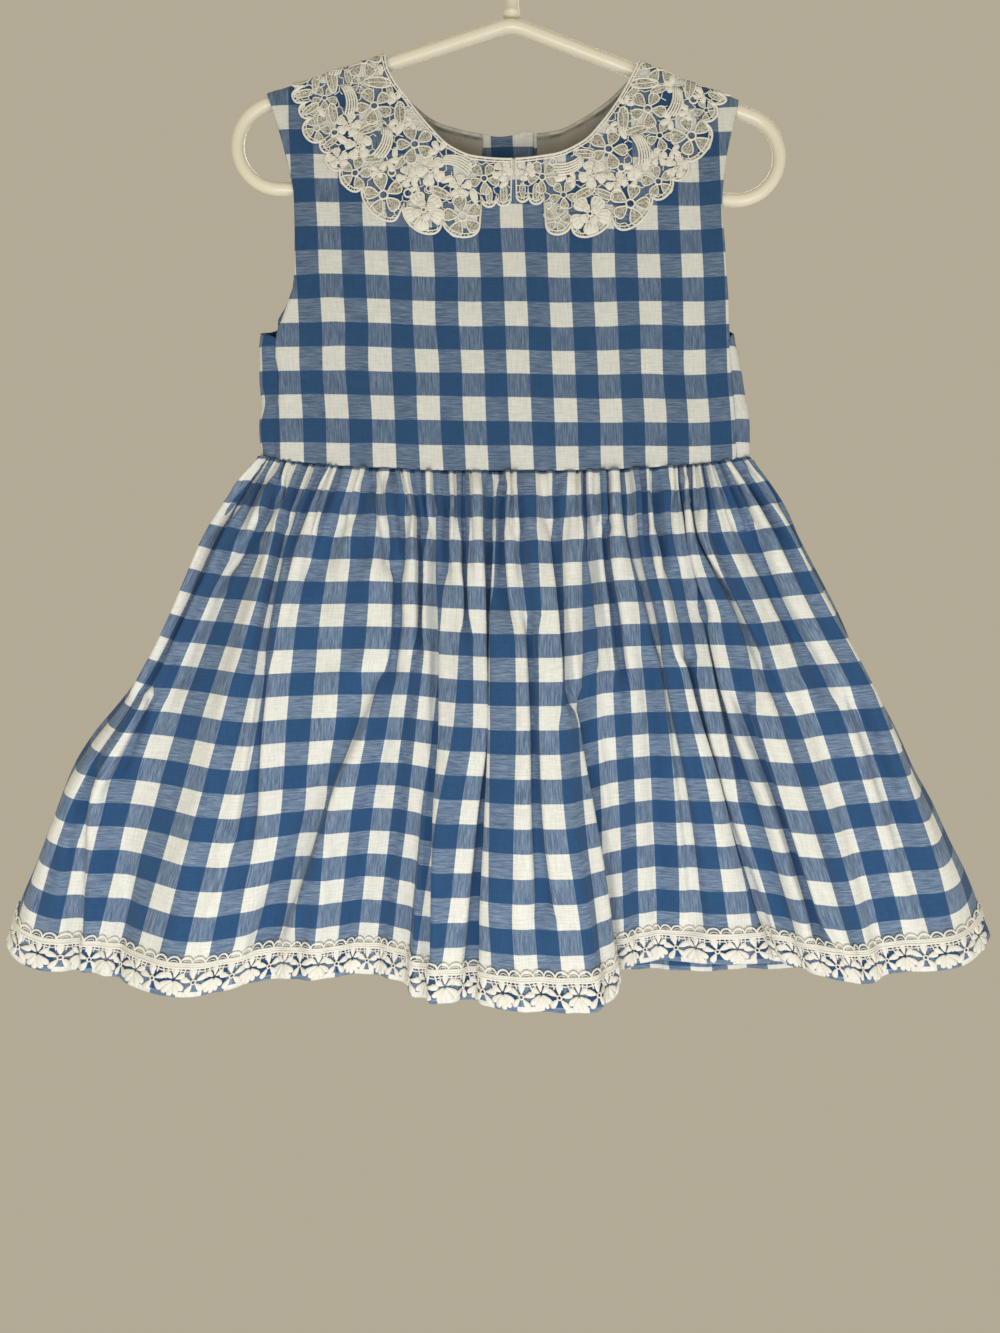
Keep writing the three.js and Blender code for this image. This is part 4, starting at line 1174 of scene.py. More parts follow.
def turned(points, degrees):
    """Points turned about the origin."""
    angle = math.radians(degrees)
    c, s = math.cos(angle), math.sin(angle)
    return points @ np.array([[c, s], [-s, c]])


def petal(start, length, width, blunt=0.5, count=14):
    """Outline of a petal that points along x, widest towards its tip."""
    angle = around(count)
    along = 0.5 - 0.5 * np.cos(angle)
    across = np.sin(angle) * width / 2 * ((1 - blunt) + blunt * 1.25 * along)
    return np.column_stack([start + length * along, across])


def circle(radius, count=12):
    """Points round a circle."""
    angle = around(count)
    return np.column_stack([radius * np.cos(angle), radius * np.sin(angle)])


def open_flower(radius=10.6, petals=5, hole=2.3):
    """Net petals with raised cord edges round an open eye."""
    shape = Shape()
    width = 2 * radius * math.sin(math.pi / petals) * 0.65
    for k in range(petals):
        scale = 1 + 0.08 * math.sin(2.4 * k + 1)
        outline = turned(petal(hole + 0.2, (radius - hole) * scale, width * scale, 0.7),
                         360 * k / petals + 6 * math.sin(3.1 * k))
        centre = outline.mean(axis=0)
        shape.pad(centre + (outline - centre) * 0.96, 0.32, 0.1, True)
        shape.cord(outline, 0.45, True)
        vein = np.array([[hole + 1, 0], [hole + (radius - hole) * 0.42, 0.25]])
        shape.cord(turned(vein, 360 * k / petals), 0.22, height=0.5, sides=4)
    shape.cord(circle(hole), 0.55, True, height=0.62)
    return shape


def satin_petal(shape, start, length, width, turn, base, height):
    """A padded petal with a cord edge and three raised rows of stitches along it."""
    outline = petal(start, length, width, 0.55)
    shape.pad(turned(outline, turn), height, base, rings=FULL_DOME)
    shape.cord(turned(outline, turn), 0.33, True, height=base + height * 0.55)
    for across in (-0.24, 0.0, 0.24):
        along = start + length * np.array([0.2, 0.5, 0.84 - 0.3 * abs(across)])
        row = np.column_stack([along, across * width * np.array([0.55, 0.9, 1.0])])
        shape.cord(turned(row, turn), 0.3, sides=4, height=base + height)


def rose(radius=9.6):
    """Satin petals in two rounds over a small eye."""
    shape = Shape()
    for k in range(5):
        length = (radius - 2.6) * (1 + 0.07 * math.sin(1.7 * k))
        turn = 72 * k + 6 * math.sin(2.1 * k)
        satin_petal(shape, 2.6, length, radius * 0.86, turn, 0.1 + 0.15 * (k % 2), 0.6)
    for k in range(4):
        turn = 90 * k + 30 + 7 * math.sin(3.0 * k)
        satin_petal(shape, 0.9, radius * 0.45, radius * 0.46, turn, 0.8, 0.5)
    shape.cord(circle(1.2, 9), 0.45, True, height=1.5)
    return shape


def leaf(length=13.5, width=5.8, net=True):
    """A pointed leaf with a cord edge and a middle vein."""
    shape = Shape()
    angle = around(16)
    along = 0.5 - 0.5 * np.cos(angle)
    across = np.sin(angle) * width / 2 * (1 - 0.25 * along)
    outline = np.column_stack([length * (along - 0.5), across])
    shape.pad(outline, 0.34 if net else 0.9, 0.1, net)
    shape.cord(outline, 0.45, True)
    vein = np.linspace(-0.46, 0.42, 6) * length
    shape.cord(np.column_stack([vein, 0.3 * np.sin(vein / 3)]), 0.26,
               height=0.6 if net else 1.0, sides=4)
    return shape


def bars(length=15.0, rows=5, gap=1.15):
    """A curved spray of close satin cords."""
    shape = Shape()
    along = np.linspace(-0.5, 0.5, 9)
    for k in range(rows):
        place = (k - (rows - 1) / 2) * gap
        aside = place * (1 + 0.35 * along) + 1.8 * (1 - (2 * along) ** 2)
        reach = length * (1 - 0.05 * abs(k - 1.7))
        shape.cord(np.column_stack([reach * along, aside]), 0.52, height=0.5)
    for at in (-0.3, 0.02, 0.33):
        x = length * at
        y = np.array([-(rows - 1) / 2 * gap, (rows - 1) / 2 * gap]) + 1.8 * (1 - 4 * at * at)
        shape.cord(np.column_stack([[x, x + 0.4], y]), 0.2, height=0.9, sides=4)
    return shape


def eyelet(radius=1.75):
    """A small ring of cord."""
    shape = Shape()
    shape.cord(circle(radius, 10), 0.45, True)
    return shape


def trefoil(radius=6.6):
    """Three satin petals on a short stem."""
    shape = Shape()
    for turn, scale in ((0, 1.0), (62, 0.9), (-62, 0.92)):
        outline = turned(petal(0.8, radius * scale, radius * 0.62, 0.5), turn)
        shape.pad(outline, 0.8)
        shape.cord(outline, 0.32, True, height=0.4)
    shape.cord([[0.5, 0], [-2.2, 0.2], [-4.6, -0.3]], 0.42, height=0.45)
    return shape


# ---------- repeating and hanging the lace ----------


def repeated(name, sources, places, cord_material, net_material):
    """Copies of the source shapes at places (kind, x, y, turn, size), as one flat mesh."""
    kinds = bpy.data.collections.new(f"{name}_kinds")
    bpy.context.scene.collection.children.link(kinds)
    for order, shape in enumerate(sources):
        source = shape.source(f"{name}_{order:02d}")
        bpy.context.scene.collection.objects.unlink(source)
        kinds.objects.link(source)
    spots = bpy.data.meshes.new(f"{name}_spots")
    spots.from_pydata([(x * MM, y * MM, 0) for _, x, y, _, _ in places], [], [])
    for column, kind, key in (("kind", "INT", 0), ("turn", "FLOAT", 3), ("size", "FLOAT", 4)):
        values = [place[key] for place in places]
        spots.attributes.new(column, kind, "POINT").data.foreach_set("value", values)
    obj = linked(name, spots)
    tree = bpy.data.node_groups.new(f"{name}_repeat", "GeometryNodeTree")
    face = tree.interface
    for label, kind in (("Places", "Geometry"), ("Kinds", "Collection"), ("Cord", "Material"),
                        ("Net", "Material")):
        face.new_socket(label, in_out="INPUT", socket_type=f"NodeSocket{kind}")
    face.new_socket("Lace", in_out="OUTPUT", socket_type="NodeSocketGeometry")
    add = tree.nodes.new
    start, end = add("NodeGroupInput"), add("NodeGroupOutput")
    pick, put = add("GeometryNodeCollectionInfo"), add("GeometryNodeInstanceOnPoints")
    pick.inputs["Separate Children"].default_value = True
    pick.inputs["Reset Children"].default_value = True
    put.inputs["Pick Instance"].default_value = True
    wanted = {}
    for column, kind in (("kind", "INT"), ("turn", "FLOAT"), ("size", "FLOAT"),
                         ("net", "BOOLEAN")):
        wanted[column] = add("GeometryNodeInputNamedAttribute")
        wanted[column].data_type = kind
        wanted[column].inputs["Name"].default_value = column
    spin = add("ShaderNodeCombineXYZ")
    solid = add("GeometryNodeRealizeInstances")
    cords, nets = add("GeometryNodeSetMaterial"), add("GeometryNodeSetMaterial")
    for source, given, target, taken in (
            (start, "Places", put, "Points"), (start, "Kinds", pick, "Collection"),
            (pick, "Instances", put, "Instance"),
            (wanted["kind"], "Attribute", put, "Instance Index"),
            (wanted["turn"], "Attribute", spin, "Z"), (spin, "Vector", put, "Rotation"),
            (wanted["size"], "Attribute", put, "Scale"),
            (put, "Instances", solid, "Geometry"), (solid, "Geometry", cords, "Geometry"),
            (start, "Cord", cords, "Material"), (cords, "Geometry", nets, "Geometry"),
            (wanted["net"], "Attribute", nets, "Selection"), (start, "Net", nets, "Material"),
            (nets, "Geometry", end, "Lace")):
        tree.links.new(source.outputs[given], target.inputs[taken])
    modifier = obj.modifiers.new("repeat", "NODES")
    modifier.node_group = tree
    keys = {item.name: item.identifier for item in face.items_tree if item.in_out == "INPUT"}
    modifier[keys["Kinds"]] = kinds
    modifier[keys["Cord"]] = cord_material
    modifier[keys["Net"]] = net_material
    view = bpy.context.evaluated_depsgraph_get()
    view.update()
    mesh = bpy.data.meshes.new_from_object(obj.evaluated_get(view))
    mesh.name = f"{name}_mesh"
    flat = np.empty(len(mesh.vertices) * 3)
    mesh.vertices.foreach_get("co", flat)
    for leftover in [obj, *kinds.objects]:
        bpy.data.objects.remove(leftover)
    bpy.data.collections.remove(kinds)
    return mesh, flat.reshape(-1, 3) / MM


def hung(name, mesh, points):
    """The flat mesh moved to its points in the dress."""
    mesh.vertices.foreach_set("co", (points * MM).ravel())
    mesh.shade_smooth()
    mesh.update()
    return linked(name, mesh)


# ---------- the collar ----------

# The share of a collar half's neckline that lies in front of the shoulder, the share of each
# part before it turns up to the ridge, and how far the collar fans out along it.
SHOULDER_SHARE = 0.54
NECK_STRAIGHT = 0.8
FAN = Table(("share", "turn"), [
    (0.00, 0.02), (0.06, 0.06), (0.09, 0.12), (0.16, 0.30), (0.28, 0.60), (0.38, 0.84),
    (0.46, 1.00), (0.62, 1.00), (0.72, 0.70), (0.84, 0.38), (0.94, 0.10), (1.00, 0.03),
])

# x of each half's ends at the centre front and the centre back.
COLLAR_ENDS = {LEFT: (-1.6, -17.5), RIGHT: (0.4, 12.5)}

# The collar's scallops from the centre front to the centre back: where each ends, as a share
# of the neckline, and how far out it reaches.
SCALLOPS = {
    LEFT: [(0.031, 25.5), (0.060, 26.5), (0.119, 44.5), (0.178, 49.5), (0.237, 57), (0.275, 57.5),
           (0.306, 57), (0.330, 54), (0.378, 57), (0.418, 53.5), (0.475, 54), (0.54, 53),
           (0.605, 52), (0.68, 50), (0.76, 50), (0.84, 47), (0.915, 44), (0.96, 34), (1.0, 28)],
    RIGHT: [(0.027, 23.5), (0.059, 25.5), (0.101, 43), (0.163, 48.5), (0.227, 55), (0.266, 54.5),
            (0.298, 55), (0.371, 56), (0.430, 51), (0.480, 52), (0.54, 53), (0.605, 52),
            (0.68, 50), (0.76, 50), (0.84, 47), (0.915, 44), (0.96, 34), (1.0, 28)],
}

# The collar's larger inner motifs: kind, share along the neckline, distance out from it, turn
# from pointing outwards, and size. Each is left out where the outer row comes too close.
FLOWER, ROSE, LEAF, BARS, EYELET, TREFOIL, BUD, EDGING, NETTING = range(9)
COLLAR_MOTIFS = [
    (ROSE, 0.020, 7.0, 10, 0.58), (FLOWER, 0.058, 11.5, 10, 0.76), (BARS, 0.118, 8.0, 82, 1.15),
    (BARS, 0.125, 17.5, 66, 1.2), (LEAF, 0.132, 25.5, 80, 0.95), (FLOWER, 0.205, 13.5, 12, 0.96),
    (ROSE, 0.190, 29.5, 15, 0.62), (BARS, 0.252, 26.5, 20, 1.2), (TREFOIL, 0.228, 31.0, 60, 0.9),
    (LEAF, 0.262, 9.0, 40, 1.1), (FLOWER, 0.318, 17.0, 40, 0.92), (ROSE, 0.322, 34.0, 0, 0.72),
    (BARS, 0.372, 27.0, 70, 1.15), (LEAF, 0.372, 8.5, -35, 1.1), (ROSE, 0.432, 15.5, 15, 0.98),
    (LEAF, 0.468, 31.0, 80, 1.15), (FLOWER, 0.505, 12.0, 30, 0.9), (BARS, 0.545, 28.0, 75, 1.1),
    (ROSE, 0.590, 14.0, 0, 0.9), (LEAF, 0.622, 27.5, 75, 1.1), (FLOWER, 0.668, 14.0, 20, 0.94),
    (BARS, 0.715, 26.0, 70, 1.1), (LEAF, 0.735, 9.0, 40, 1.1), (FLOWER, 0.800, 14.0, 5, 0.92),
    (BARS, 0.860, 18.0, 60, 1.05), (ROSE, 0.905, 9.5, 20, 0.7), (LEAF, 0.955, 13.0, 20, 0.9),
]

# By kind, at size 1: the room that a motif takes, and how close to it the bars stop.
MOTIF_ROOM = (10.4, 9.2, 4.8, 5.6, 2.2, 4.6, 3.2)
CLEAR = (9.2, 8.2, 3.6, 4.5, 2.2, 3.8, 2.4)


def neck_point(hand, share, side):
    """Neckline half from its end near the centre, 0, to the shoulder point, 1."""
    start = COLLAR_ENDS[hand][0 if side == FRONT else 1]
    rows = NECKLINE[side]
    last = rows[0] if hand < 0 else rows[-1]
    corner = NECK_ENDS[hand]
    x = start + (last[0] - start) * np.sin(math.pi / 2 * np.minimum(share / NECK_STRAIGHT, 1))
    rise = np.clip((share - NECK_STRAIGHT) / (1 - NECK_STRAIGHT), 0, 1)
    level = np.where(rise > 0, last[1] + (float(ridge(corner)) - last[1]) * rise,
                     top_edge(x, side))
    return x + (corner - x) * rise, level


def shoulder_line(hand):
    """A point on the shoulder's ridge and its unit normal, up in the plane of the front."""
    slope = ARM_SLOPE - HANGER_TILT if hand < 0 else ARM_SLOPE + HANGER_TILT
    corner = NECK_ENDS[hand]
    return np.array([corner, float(ridge(corner))]), \
        np.array([hand * math.sin(slope), math.cos(slope)]), slope


def unfolded(hand, share, out):
    """A collar place in the flat plane of the front, as if the back were folded up over it."""
    share, out = np.broadcast_arrays(np.asarray(share, float), np.asarray(out, float))
    point, normal, slope = shoulder_line(hand)
    flat = np.empty(share.shape + (2,))
    for side in (FRONT, BACK):
        here = (share <= SHOULDER_SHARE) == (side == FRONT)
        part = share / SHOULDER_SHARE if side == FRONT \
            else (1 - share) / (1 - SHOULDER_SHARE)
        x, level = neck_point(hand, np.clip(part, 0, 1), side)
        lean = FAN.read("turn", share) * (math.pi / 2 - slope)
        spot = np.stack([x + hand * out * np.sin(lean), level - out * np.cos(lean)], axis=-1)
        if side == BACK:
            spot = spot - 2 * ((spot - point) @ normal)[..., None] * normal
        flat[here] = spot[here]
    return flat


def on_bodice(hand, flat, lift):
    """The point of the bodice under a place of the unfolded collar, raised by lift."""
    point, normal, _ = shoulder_line(hand)
    above = (flat - point) @ normal
    folded = flat - 2 * np.maximum(above, 0)[:, None] * normal
    x, level = folded[:, 0], folded[:, 1]
    centre = section(level)[0]
    front = bodice(x - centre, level, FRONT, lift + relief(x, level, FRONT))
    back = bodice(x - centre, level, BACK, lift + relief(x, level, BACK) + placket_lift(hand, x))
    return np.where((above > 0)[:, None], back, front)


def scalloped(hand, share):
    """The collar's reach with its scalloped edge."""
    ends, reach = np.array([(0.0, 0.0), *SCALLOPS[hand]]).T
    i = np.clip(np.searchsorted(ends, share, side="right") - 1, 0, len(ends) - 2)
    width = ends[i + 1] - ends[i]
    t = 2 * (share - ends[i]) / width - 1
    notch = np.minimum(7.5, 140 * width)
    return reach[i + 1] - notch + notch * np.sqrt(np.maximum(0, 1 - t * t)) ** 0.9


def edge_row(hand):
    """The collar's outer row of motifs, one to a scallop and as wide as it."""
    row, start = [], 0.0
    for order, (end, reach) in enumerate(SCALLOPS[hand]):
        middle = (start + end) / 2
        a, b = unfolded(hand, np.array([start, end]), np.full(2, reach - 9.0))
        room = min(10.8, np.hypot(*(b - a)) * 0.57)
        if room < 6:
            turn = 8 * math.sin(2.3 * order)
            row.append((LEAF, middle, reach - 6.2, turn, max(0.6, room / 6.2)))
        else:
            kind = FLOWER if order % 3 else ROSE
            scale = room / (10.6 if kind == FLOWER else 9.6)
            row.append((kind, middle, reach - room - 0.3, 17 * math.sin(2.3 * order), scale))
        start = end
    return row


def placed(hand):
    """The collar's motifs on the flat, as kind, x, y, turn and size, with the room each takes."""
    kept = []
    edge = edge_row(hand)
    for order, (kind, at, out, turn, scale) in enumerate(edge + COLLAR_MOTIFS):
        spot, beyond = unfolded(hand, np.array([at, at]), np.array([out, out + 1]))
        bearing = math.atan2(*(beyond - spot)[::-1]) - hand * math.radians(turn)
        room = MOTIF_ROOM[kind] * scale
        near = [math.hypot(spot[0] - x, spot[1] - y) / (room + other)
                for _, x, y, _, _, other in kept]
        if order < len(edge) or min(near) > 0.74:
            kept.append((kind, *spot, bearing, scale, room))
    return kept


def filled(outline, kept, seed):
    """Smaller motifs in the widest gaps left inside an outline, the largest first."""
    low, high = outline.min(axis=0), outline.max(axis=0)
    spots = np.stack(np.meshgrid(np.arange(low[0], high[0], 0.8),
                                 np.arange(low[1], high[1], 0.8)), -1).reshape(-1, 2)
    spots = spots[inside(spots, outline)]
    room = np.min(np.linalg.norm(spots[:, None] - outline[None], axis=-1), axis=1) - 1.6
    for _, x, y, _, _, taken in kept:
        room = np.minimum(room, np.hypot(spots[:, 0] - x, spots[:, 1] - y) - taken * 0.94)
    chance = np.random.default_rng(seed)
    added = []
    while room.max() > 1.9:
        best = int(np.argmax(room))
        reach, spot = float(min(room[best], 8.0)), spots[best]
        turns = chance.uniform(0, math.pi) + np.arange(8) * math.pi / 8
        tips = spot + 1.7 * reach * np.stack([np.cos(turns), np.sin(turns)], -1)
        gap = np.linalg.norm(spots[:, None] - tips[None], axis=-1)
        free = np.where(gap.min(axis=0) < 1, room[gap.argmin(axis=0)], -9)
        turn = float(turns[np.argmax(free)])
        pick = int(chance.integers(2))
        if reach > 4.4:
            kind, scale = ((FLOWER, reach / 9.6), (ROSE, reach / 8.8))[pick]
        elif reach > 3.0:
            kind, scale = ((TREFOIL, reach / 4.4), (LEAF, reach / 4.6))[pick]
        else:
            kind, scale = ((BUD, reach / 2.9), (EYELET, reach / 2.3))[pick]
        added.append((kind, *spot, turn, scale, reach))
        room = np.minimum(room, np.hypot(*(spots - spot).T) - reach)
    return added


def inside(points, outline):
    """Which points lie inside a closed outline."""
    x, y = points[:, 0][:, None], points[:, 1][:, None]
    a, b = outline, np.roll(outline, -1, axis=0)
    crosses = (a[:, 1] > y) != (b[:, 1] > y)
    rise = np.where(b[:, 1] == a[:, 1], 1e-9, b[:, 1] - a[:, 1])
    at = a[:, 0] + (y - a[:, 1]) * (b[:, 0] - a[:, 0]) / rise
    return np.sum(crosses & (x < at), axis=1) % 2 == 1


def net_of_bars(outline, holes, seed):
    """Thin bars in uneven six-sided cells that fill an outline but for some round holes."""
    bar = size("lace_cell")
    low, high = outline.min(axis=0) - bar, outline.max(axis=0) + bar
    wide, tall = bar * math.sqrt(3), bar * 1.5
    row, column = np.meshgrid(np.arange((high[1] - low[1]) // tall + 1),
                              np.arange((high[0] - low[0]) // wide + 1), indexing="ij")
    centre = np.stack([low[0] + wide * (column + row % 2 / 2), low[1] + tall * row], -1)
    centre = centre.reshape(-1, 2)
    corner = [centre + bar * np.array([math.cos(t), math.sin(t)])
              for t in np.radians([30, 90, 150, 210])]
    a, b = np.concatenate(corner[:3]), np.concatenate(corner[1:])
    a, b = [p + 0.75 * np.stack([noise(p[:, 0] / 2.1, p[:, 1] / 2.1, seed + k)
                                 for k in (0, 1)], -1) for p in (a, b)]
    a_in, b_in = inside(a, outline), inside(b, outline)
    keep = a_in | b_in
    a, b, a_in, b_in = a[keep], b[keep], a_in[keep], b_in[keep]
    near, far = np.where(a_in[:, None], a, b), np.where(a_in[:, None], b, a)
    partly = ~(a_in & b_in)
    low_t, high_t = np.zeros(len(a)), np.ones(len(a))
    # A bar that crosses the outline is cut off where it crosses.
    for _ in range(6):
        t = (low_t + high_t) / 2
        held = inside(near + (far - near) * t[:, None], outline)
        low_t, high_t = np.where(held, t, low_t), np.where(held, high_t, t)
    far = np.where(partly[:, None], near + (far - near) * low_t[:, None], far)
    middle = (near + far) / 2
    clear = np.ones(len(middle), bool)
    for x, y, radius in holes:
        clear &= np.hypot(middle[:, 0] - x, middle[:, 1] - y) > radius
    long_enough = np.hypot(*(far - near).T) > 0.5
    shape = Shape()
    for p, q in zip(near[clear & long_enough], far[clear & long_enough]):
        shape.cord([p, q], 0.33, sides=4, height=0.35)
    return shape


def build_collar(hand):
    """One half of the lace collar."""
    ends = [0.0] + [end for end, _ in SCALLOPS[hand]]
    ease = 0.5 - 0.5 * np.cos(np.linspace(0, math.pi, 22)[:-1])
    share = np.concatenate([a + (b - a) * ease for a, b in zip(ends, ends[1:])] + [[1.0]])
    outer = unfolded(hand, share, scalloped(hand, share))
    neck = unfolded(hand, share, 0.0)
    sides = []
    for end in (0.0, 1.0):
        reach = scalloped(hand, np.array([end]))[0]
        sides.append(unfolded(hand, np.full(12, end), np.linspace(0, reach, 12)))
    outline = np.concatenate([outer, sides[1][::-1], neck[::-1], sides[0]])
    edge = Shape()
    edge.cord(outer, 0.66)
    edge.cord(unfolded(hand, share[1:-1], scalloped(hand, share[1:-1]) - 2.0), 0.36)
    for out, radius in ((0.5, 0.62), (1.9, 0.46)):
        edge.cord(unfolded(hand, share[::2], out), radius)
    for side in sides:
        edge.cord(side, 0.5)
    rung = np.linspace(0.01, 0.99, 150)
    for a, b in zip(unfolded(hand, rung, scalloped(hand, rung)),
                    unfolded(hand, rung, scalloped(hand, rung) - 2.0)):
        edge.cord([a, b], 0.24, sides=4, height=0.35)
    kept = placed(hand)
    kept += filled(outline, kept, 5 + hand)
    holes = [(x, y, CLEAR[kind] * scale) for kind, x, y, _, scale, _ in kept]
    net = net_of_bars(outline, holes, 7 + hand)
    sources = [open_flower(), rose(), leaf(), bars(), eyelet(), trefoil(), leaf(8.0, 4.2, False),
               edge, net]
    places = [motif[:5] for motif in kept] + [(EDGING, 0, 0, 0, 1), (NETTING, 0, 0, 0, 1)]
    name = f"collar_{HANDS[hand]}_lace"
    mesh, flat = repeated(name, sources, places, shared("white_lace"), shared("lace_net"))
    slip = 0.35 * noise(flat[:, 0] / 12, flat[:, 1] / 12, 41 + hand) + 0.35
    lift = size("cloth") / 2 + flat[:, 2] + slip
    return hung(name, mesh, on_bodice(hand, flat[:, :2], lift))


# ---------- the hem's lace ----------

# The width of a loop, how far the lace's foot is above the hem edge, and the heights of the
# braid's cords.
HEM_LOOP = 6.53
HEM_FOOT = 1.2
HEM_BRAID = (13.2, 14.4, 15.4)
HEM_FLOWER, HEM_FAN, LOOP_OF_CORD, TIES, BRAID = range(5)

# Short bars between flowers, fans and braid: from and to, across and up.
HEM_TIES = (
    (-11.0, 13.2, -10.2, 10.4), (-8.8, 13.2, -9.2, 9.8), (-6.6, 13.2, -5.2, 9.6),
    (-4.2, 13.2, -3.0, 10.0), (-1.8, 13.2, -1.4, 10.6), (0.6, 13.2, 1.0, 10.6),
    (2.8, 13.2, 2.6, 10.2), (5.2, 13.2, 4.6, 9.4), (7.4, 13.2, 8.2, 9.8),
    (9.6, 13.2, 10.4, 10.4), (-11.0, 11.6, -6.0, 11.2), (-5.0, 11.5, 0.0, 11.8),
    (0.4, 11.8, 5.2, 11.3), (5.6, 11.2, 11.0, 11.7), (3.6, 7.6, 6.9, 8.4),
    (-3.6, 7.6, -6.9, 8.4),
)

# The skirt panels' points, normals and rows, kept for the lace that lies on them.
GRIDS = {}


def on_skirt(side, cloth, height, lift):
    """The point of the skirt at a place across the cut and a height above the hem edge."""
    points, normal, down = GRIDS[side]
    column = np.clip(cloth / SKIRT_CUT, 0, 1) * (points.shape[1] - 1)
    row = np.interp(1 - height / SKIRT_LENGTH, down, np.arange(len(down)))
    j = np.clip(column.astype(int), 0, points.shape[1] - 2)
    i = np.clip(row.astype(int), 0, len(down) - 2)
    s, t = (column - j)[:, None], (row - i)[:, None]

    def sampled(grid):
        """The grid's values at each place, mixed from the four around it."""
        upper = mix(grid[i, j], grid[i, j + 1], s)
        return mix(upper, mix(grid[i + 1, j], grid[i + 1, j + 1], s), t)

    return sampled(points) + unit(sampled(normal)) * np.asarray(lift)[:, None]


def hem_flower():
    """Five plump petals round a ring."""
    shape = Shape()
    for k in range(5):
        outline = turned(petal(0.9, 5.5, 3.5, 0.7, 12), 72 * k + 18 + 5 * math.sin(2 * k))
        shape.pad(outline, 0.85, rings=FLAT_DOME)
    shape.cord(circle(1.0, 8), 0.4, True, height=0.9, sides=4)
    return shape


def hem_fan():
    """Five petals that fan out to the hem edge, with three short ones above."""
    shape = Shape()
    for k in range(5):
        outline = turned(petal(0.6, 7.0 - 0.3 * abs(k - 2), 3.5, 0.7, 12), -90 + (k - 2) * 27)
        shape.pad(outline, 0.85 + 0.2 * (k % 2), rings=FLAT_DOME)
    for k in range(3):
        outline = turned(petal(0.8, 4.6, 3.3, 0.65, 12), 90 + (k - 1) * 58)
        shape.pad(outline, 0.85, rings=FLAT_DOME)
    return shape


def hem_loop():
    """One loop of the braid's upper edge, with a smaller one inside."""
    shape = Shape()
    angle = np.linspace(0, math.pi, 12)
    half = HEM_LOOP / 2
    shape.cord(np.column_stack([half * 0.98 * np.cos(angle), 3.4 * np.sin(angle)]), 0.55)
    shape.cord(np.column_stack([half * 0.62 * np.cos(angle), 1.4 * np.sin(angle)]), 0.3, sides=4)
    return shape


def hem_ties():
    """Short bars that tie flowers and fans to each other and to the braid."""
    shape = Shape()
    for x0, y0, x1, y1 in HEM_TIES:
        shape.cord([(x0, y0), ((x0 + x1) / 2 + 0.2, (y0 + y1) / 2), (x1, y1)], 0.42, sides=4)
    return shape


def build_hem_lace(side):
    """The lace along one panel's hem."""
    cloth = np.linspace(0, SKIRT_CUT, 354)
    braid = Shape()
    for level, radius in zip(HEM_BRAID, (0.72, 0.62, 0.62)):
        wave = 0.12 * noise(cloth / 9, level, 51)
        braid.cord(np.column_stack([cloth, level + wave]), radius, sides=6, height=0.62)
    places = []
    repeat = size("hem_repeat")
    for k in range(int(SKIRT_CUT / repeat)):
        at = (k + 0.5) * repeat
        sway = 5 * math.sin(12.9 * k)
        places.append((HEM_FLOWER, at + repeat / 2, 6.1, math.radians(2 * sway), 1.14))
        places.append((HEM_FAN, at, 7.0, math.radians(-sway), 1.12))
        places.append((TIES, at, 0, 0, 1))
    places = [place for place in places if place[1] < SKIRT_CUT - 5]
    loops = int(SKIRT_CUT / HEM_LOOP)
    places += [(LOOP_OF_CORD, (k + 0.5) * SKIRT_CUT / loops, HEM_BRAID[-1], 0, 1)
               for k in range(loops)]
    places.append((BRAID, 0, 0, 0, 1))
    name = f"hem_lace_{SIDES[side]}_cloth"
    mesh, flat = repeated(name, [hem_flower(), hem_fan(), hem_loop(), hem_ties(), braid], places,
                          shared("hem_thread"), shared("hem_thread"))
    slip = 0.3 + 0.25 * noise(flat[:, 0] / 14, flat[:, 1] / 20, 61)
    lift = size("cloth") / 2 + flat[:, 2] + slip
    return hung(name, mesh, on_skirt(side, flat[:, 0], flat[:, 1] + HEM_FOOT, lift))


# ---------- facings and buttons ----------


def build_facing(hand):
    """The white facing inside one side of the back neck."""
    share = 1 - np.linspace(0.72, 0, FACING_COLUMNS) * (1 - SHOULDER_SHARE)
    near_edge = [0.3, 0.9, 1.5, 2.1, 2.8, 3.6]
    out = np.concatenate([near_edge, np.linspace(4.5, FACING_REACH, 30)])[:, None]
    flat = unfolded(hand, share[None, :], out)
    point, normal, _ = shoulder_line(hand)
    folded = flat - 2 * np.maximum((flat - point) @ normal, 0)[..., None] * normal
    x, level = folded[..., 0], folded[..., 1]
    pucker = 0.9 * np.abs(noise(x / 4.2, level / 30, 73)) * np.exp(-((out - 4.5) / 3.5) ** 2)
    slack = (1.1 * noise(x / 9, level / 14, 71) + 0.5 * noise(x / 4, level / 9, 72) - 0.5) \
        * smooth((out - 1) / 5) - 0.25 - pucker
    lift = placket_lift(hand, x) + relief(x, level, BACK) - size("cloth") - SEAM_GAP \
        + np.minimum(slack, 0)
    points = bodice(x - section(level)[0], level, BACK, lift)
    weave = np.stack([x / CHECK["facing"][0], level / CHECK["facing"][1]], axis=-1)
    uneven = 1 + 0.5 * noise(x / 3, 0.0, 74)
    # The seam mark: a pale seam line near the edge, and a darker line of painted shade below it.
    seam = uneven * (np.exp(-((out - 1.4) / 0.8) ** 2) - np.exp(-((out - 3.1) / 0.9) ** 2))
    obj = cloth_shell(f"neck_facing_{HANDS[hand]}_cloth", points, weave, FACING_CLOTH,
                      away_from(BACK), {"seam": seam})
    dressed(obj, "white_cotton")
    return obj


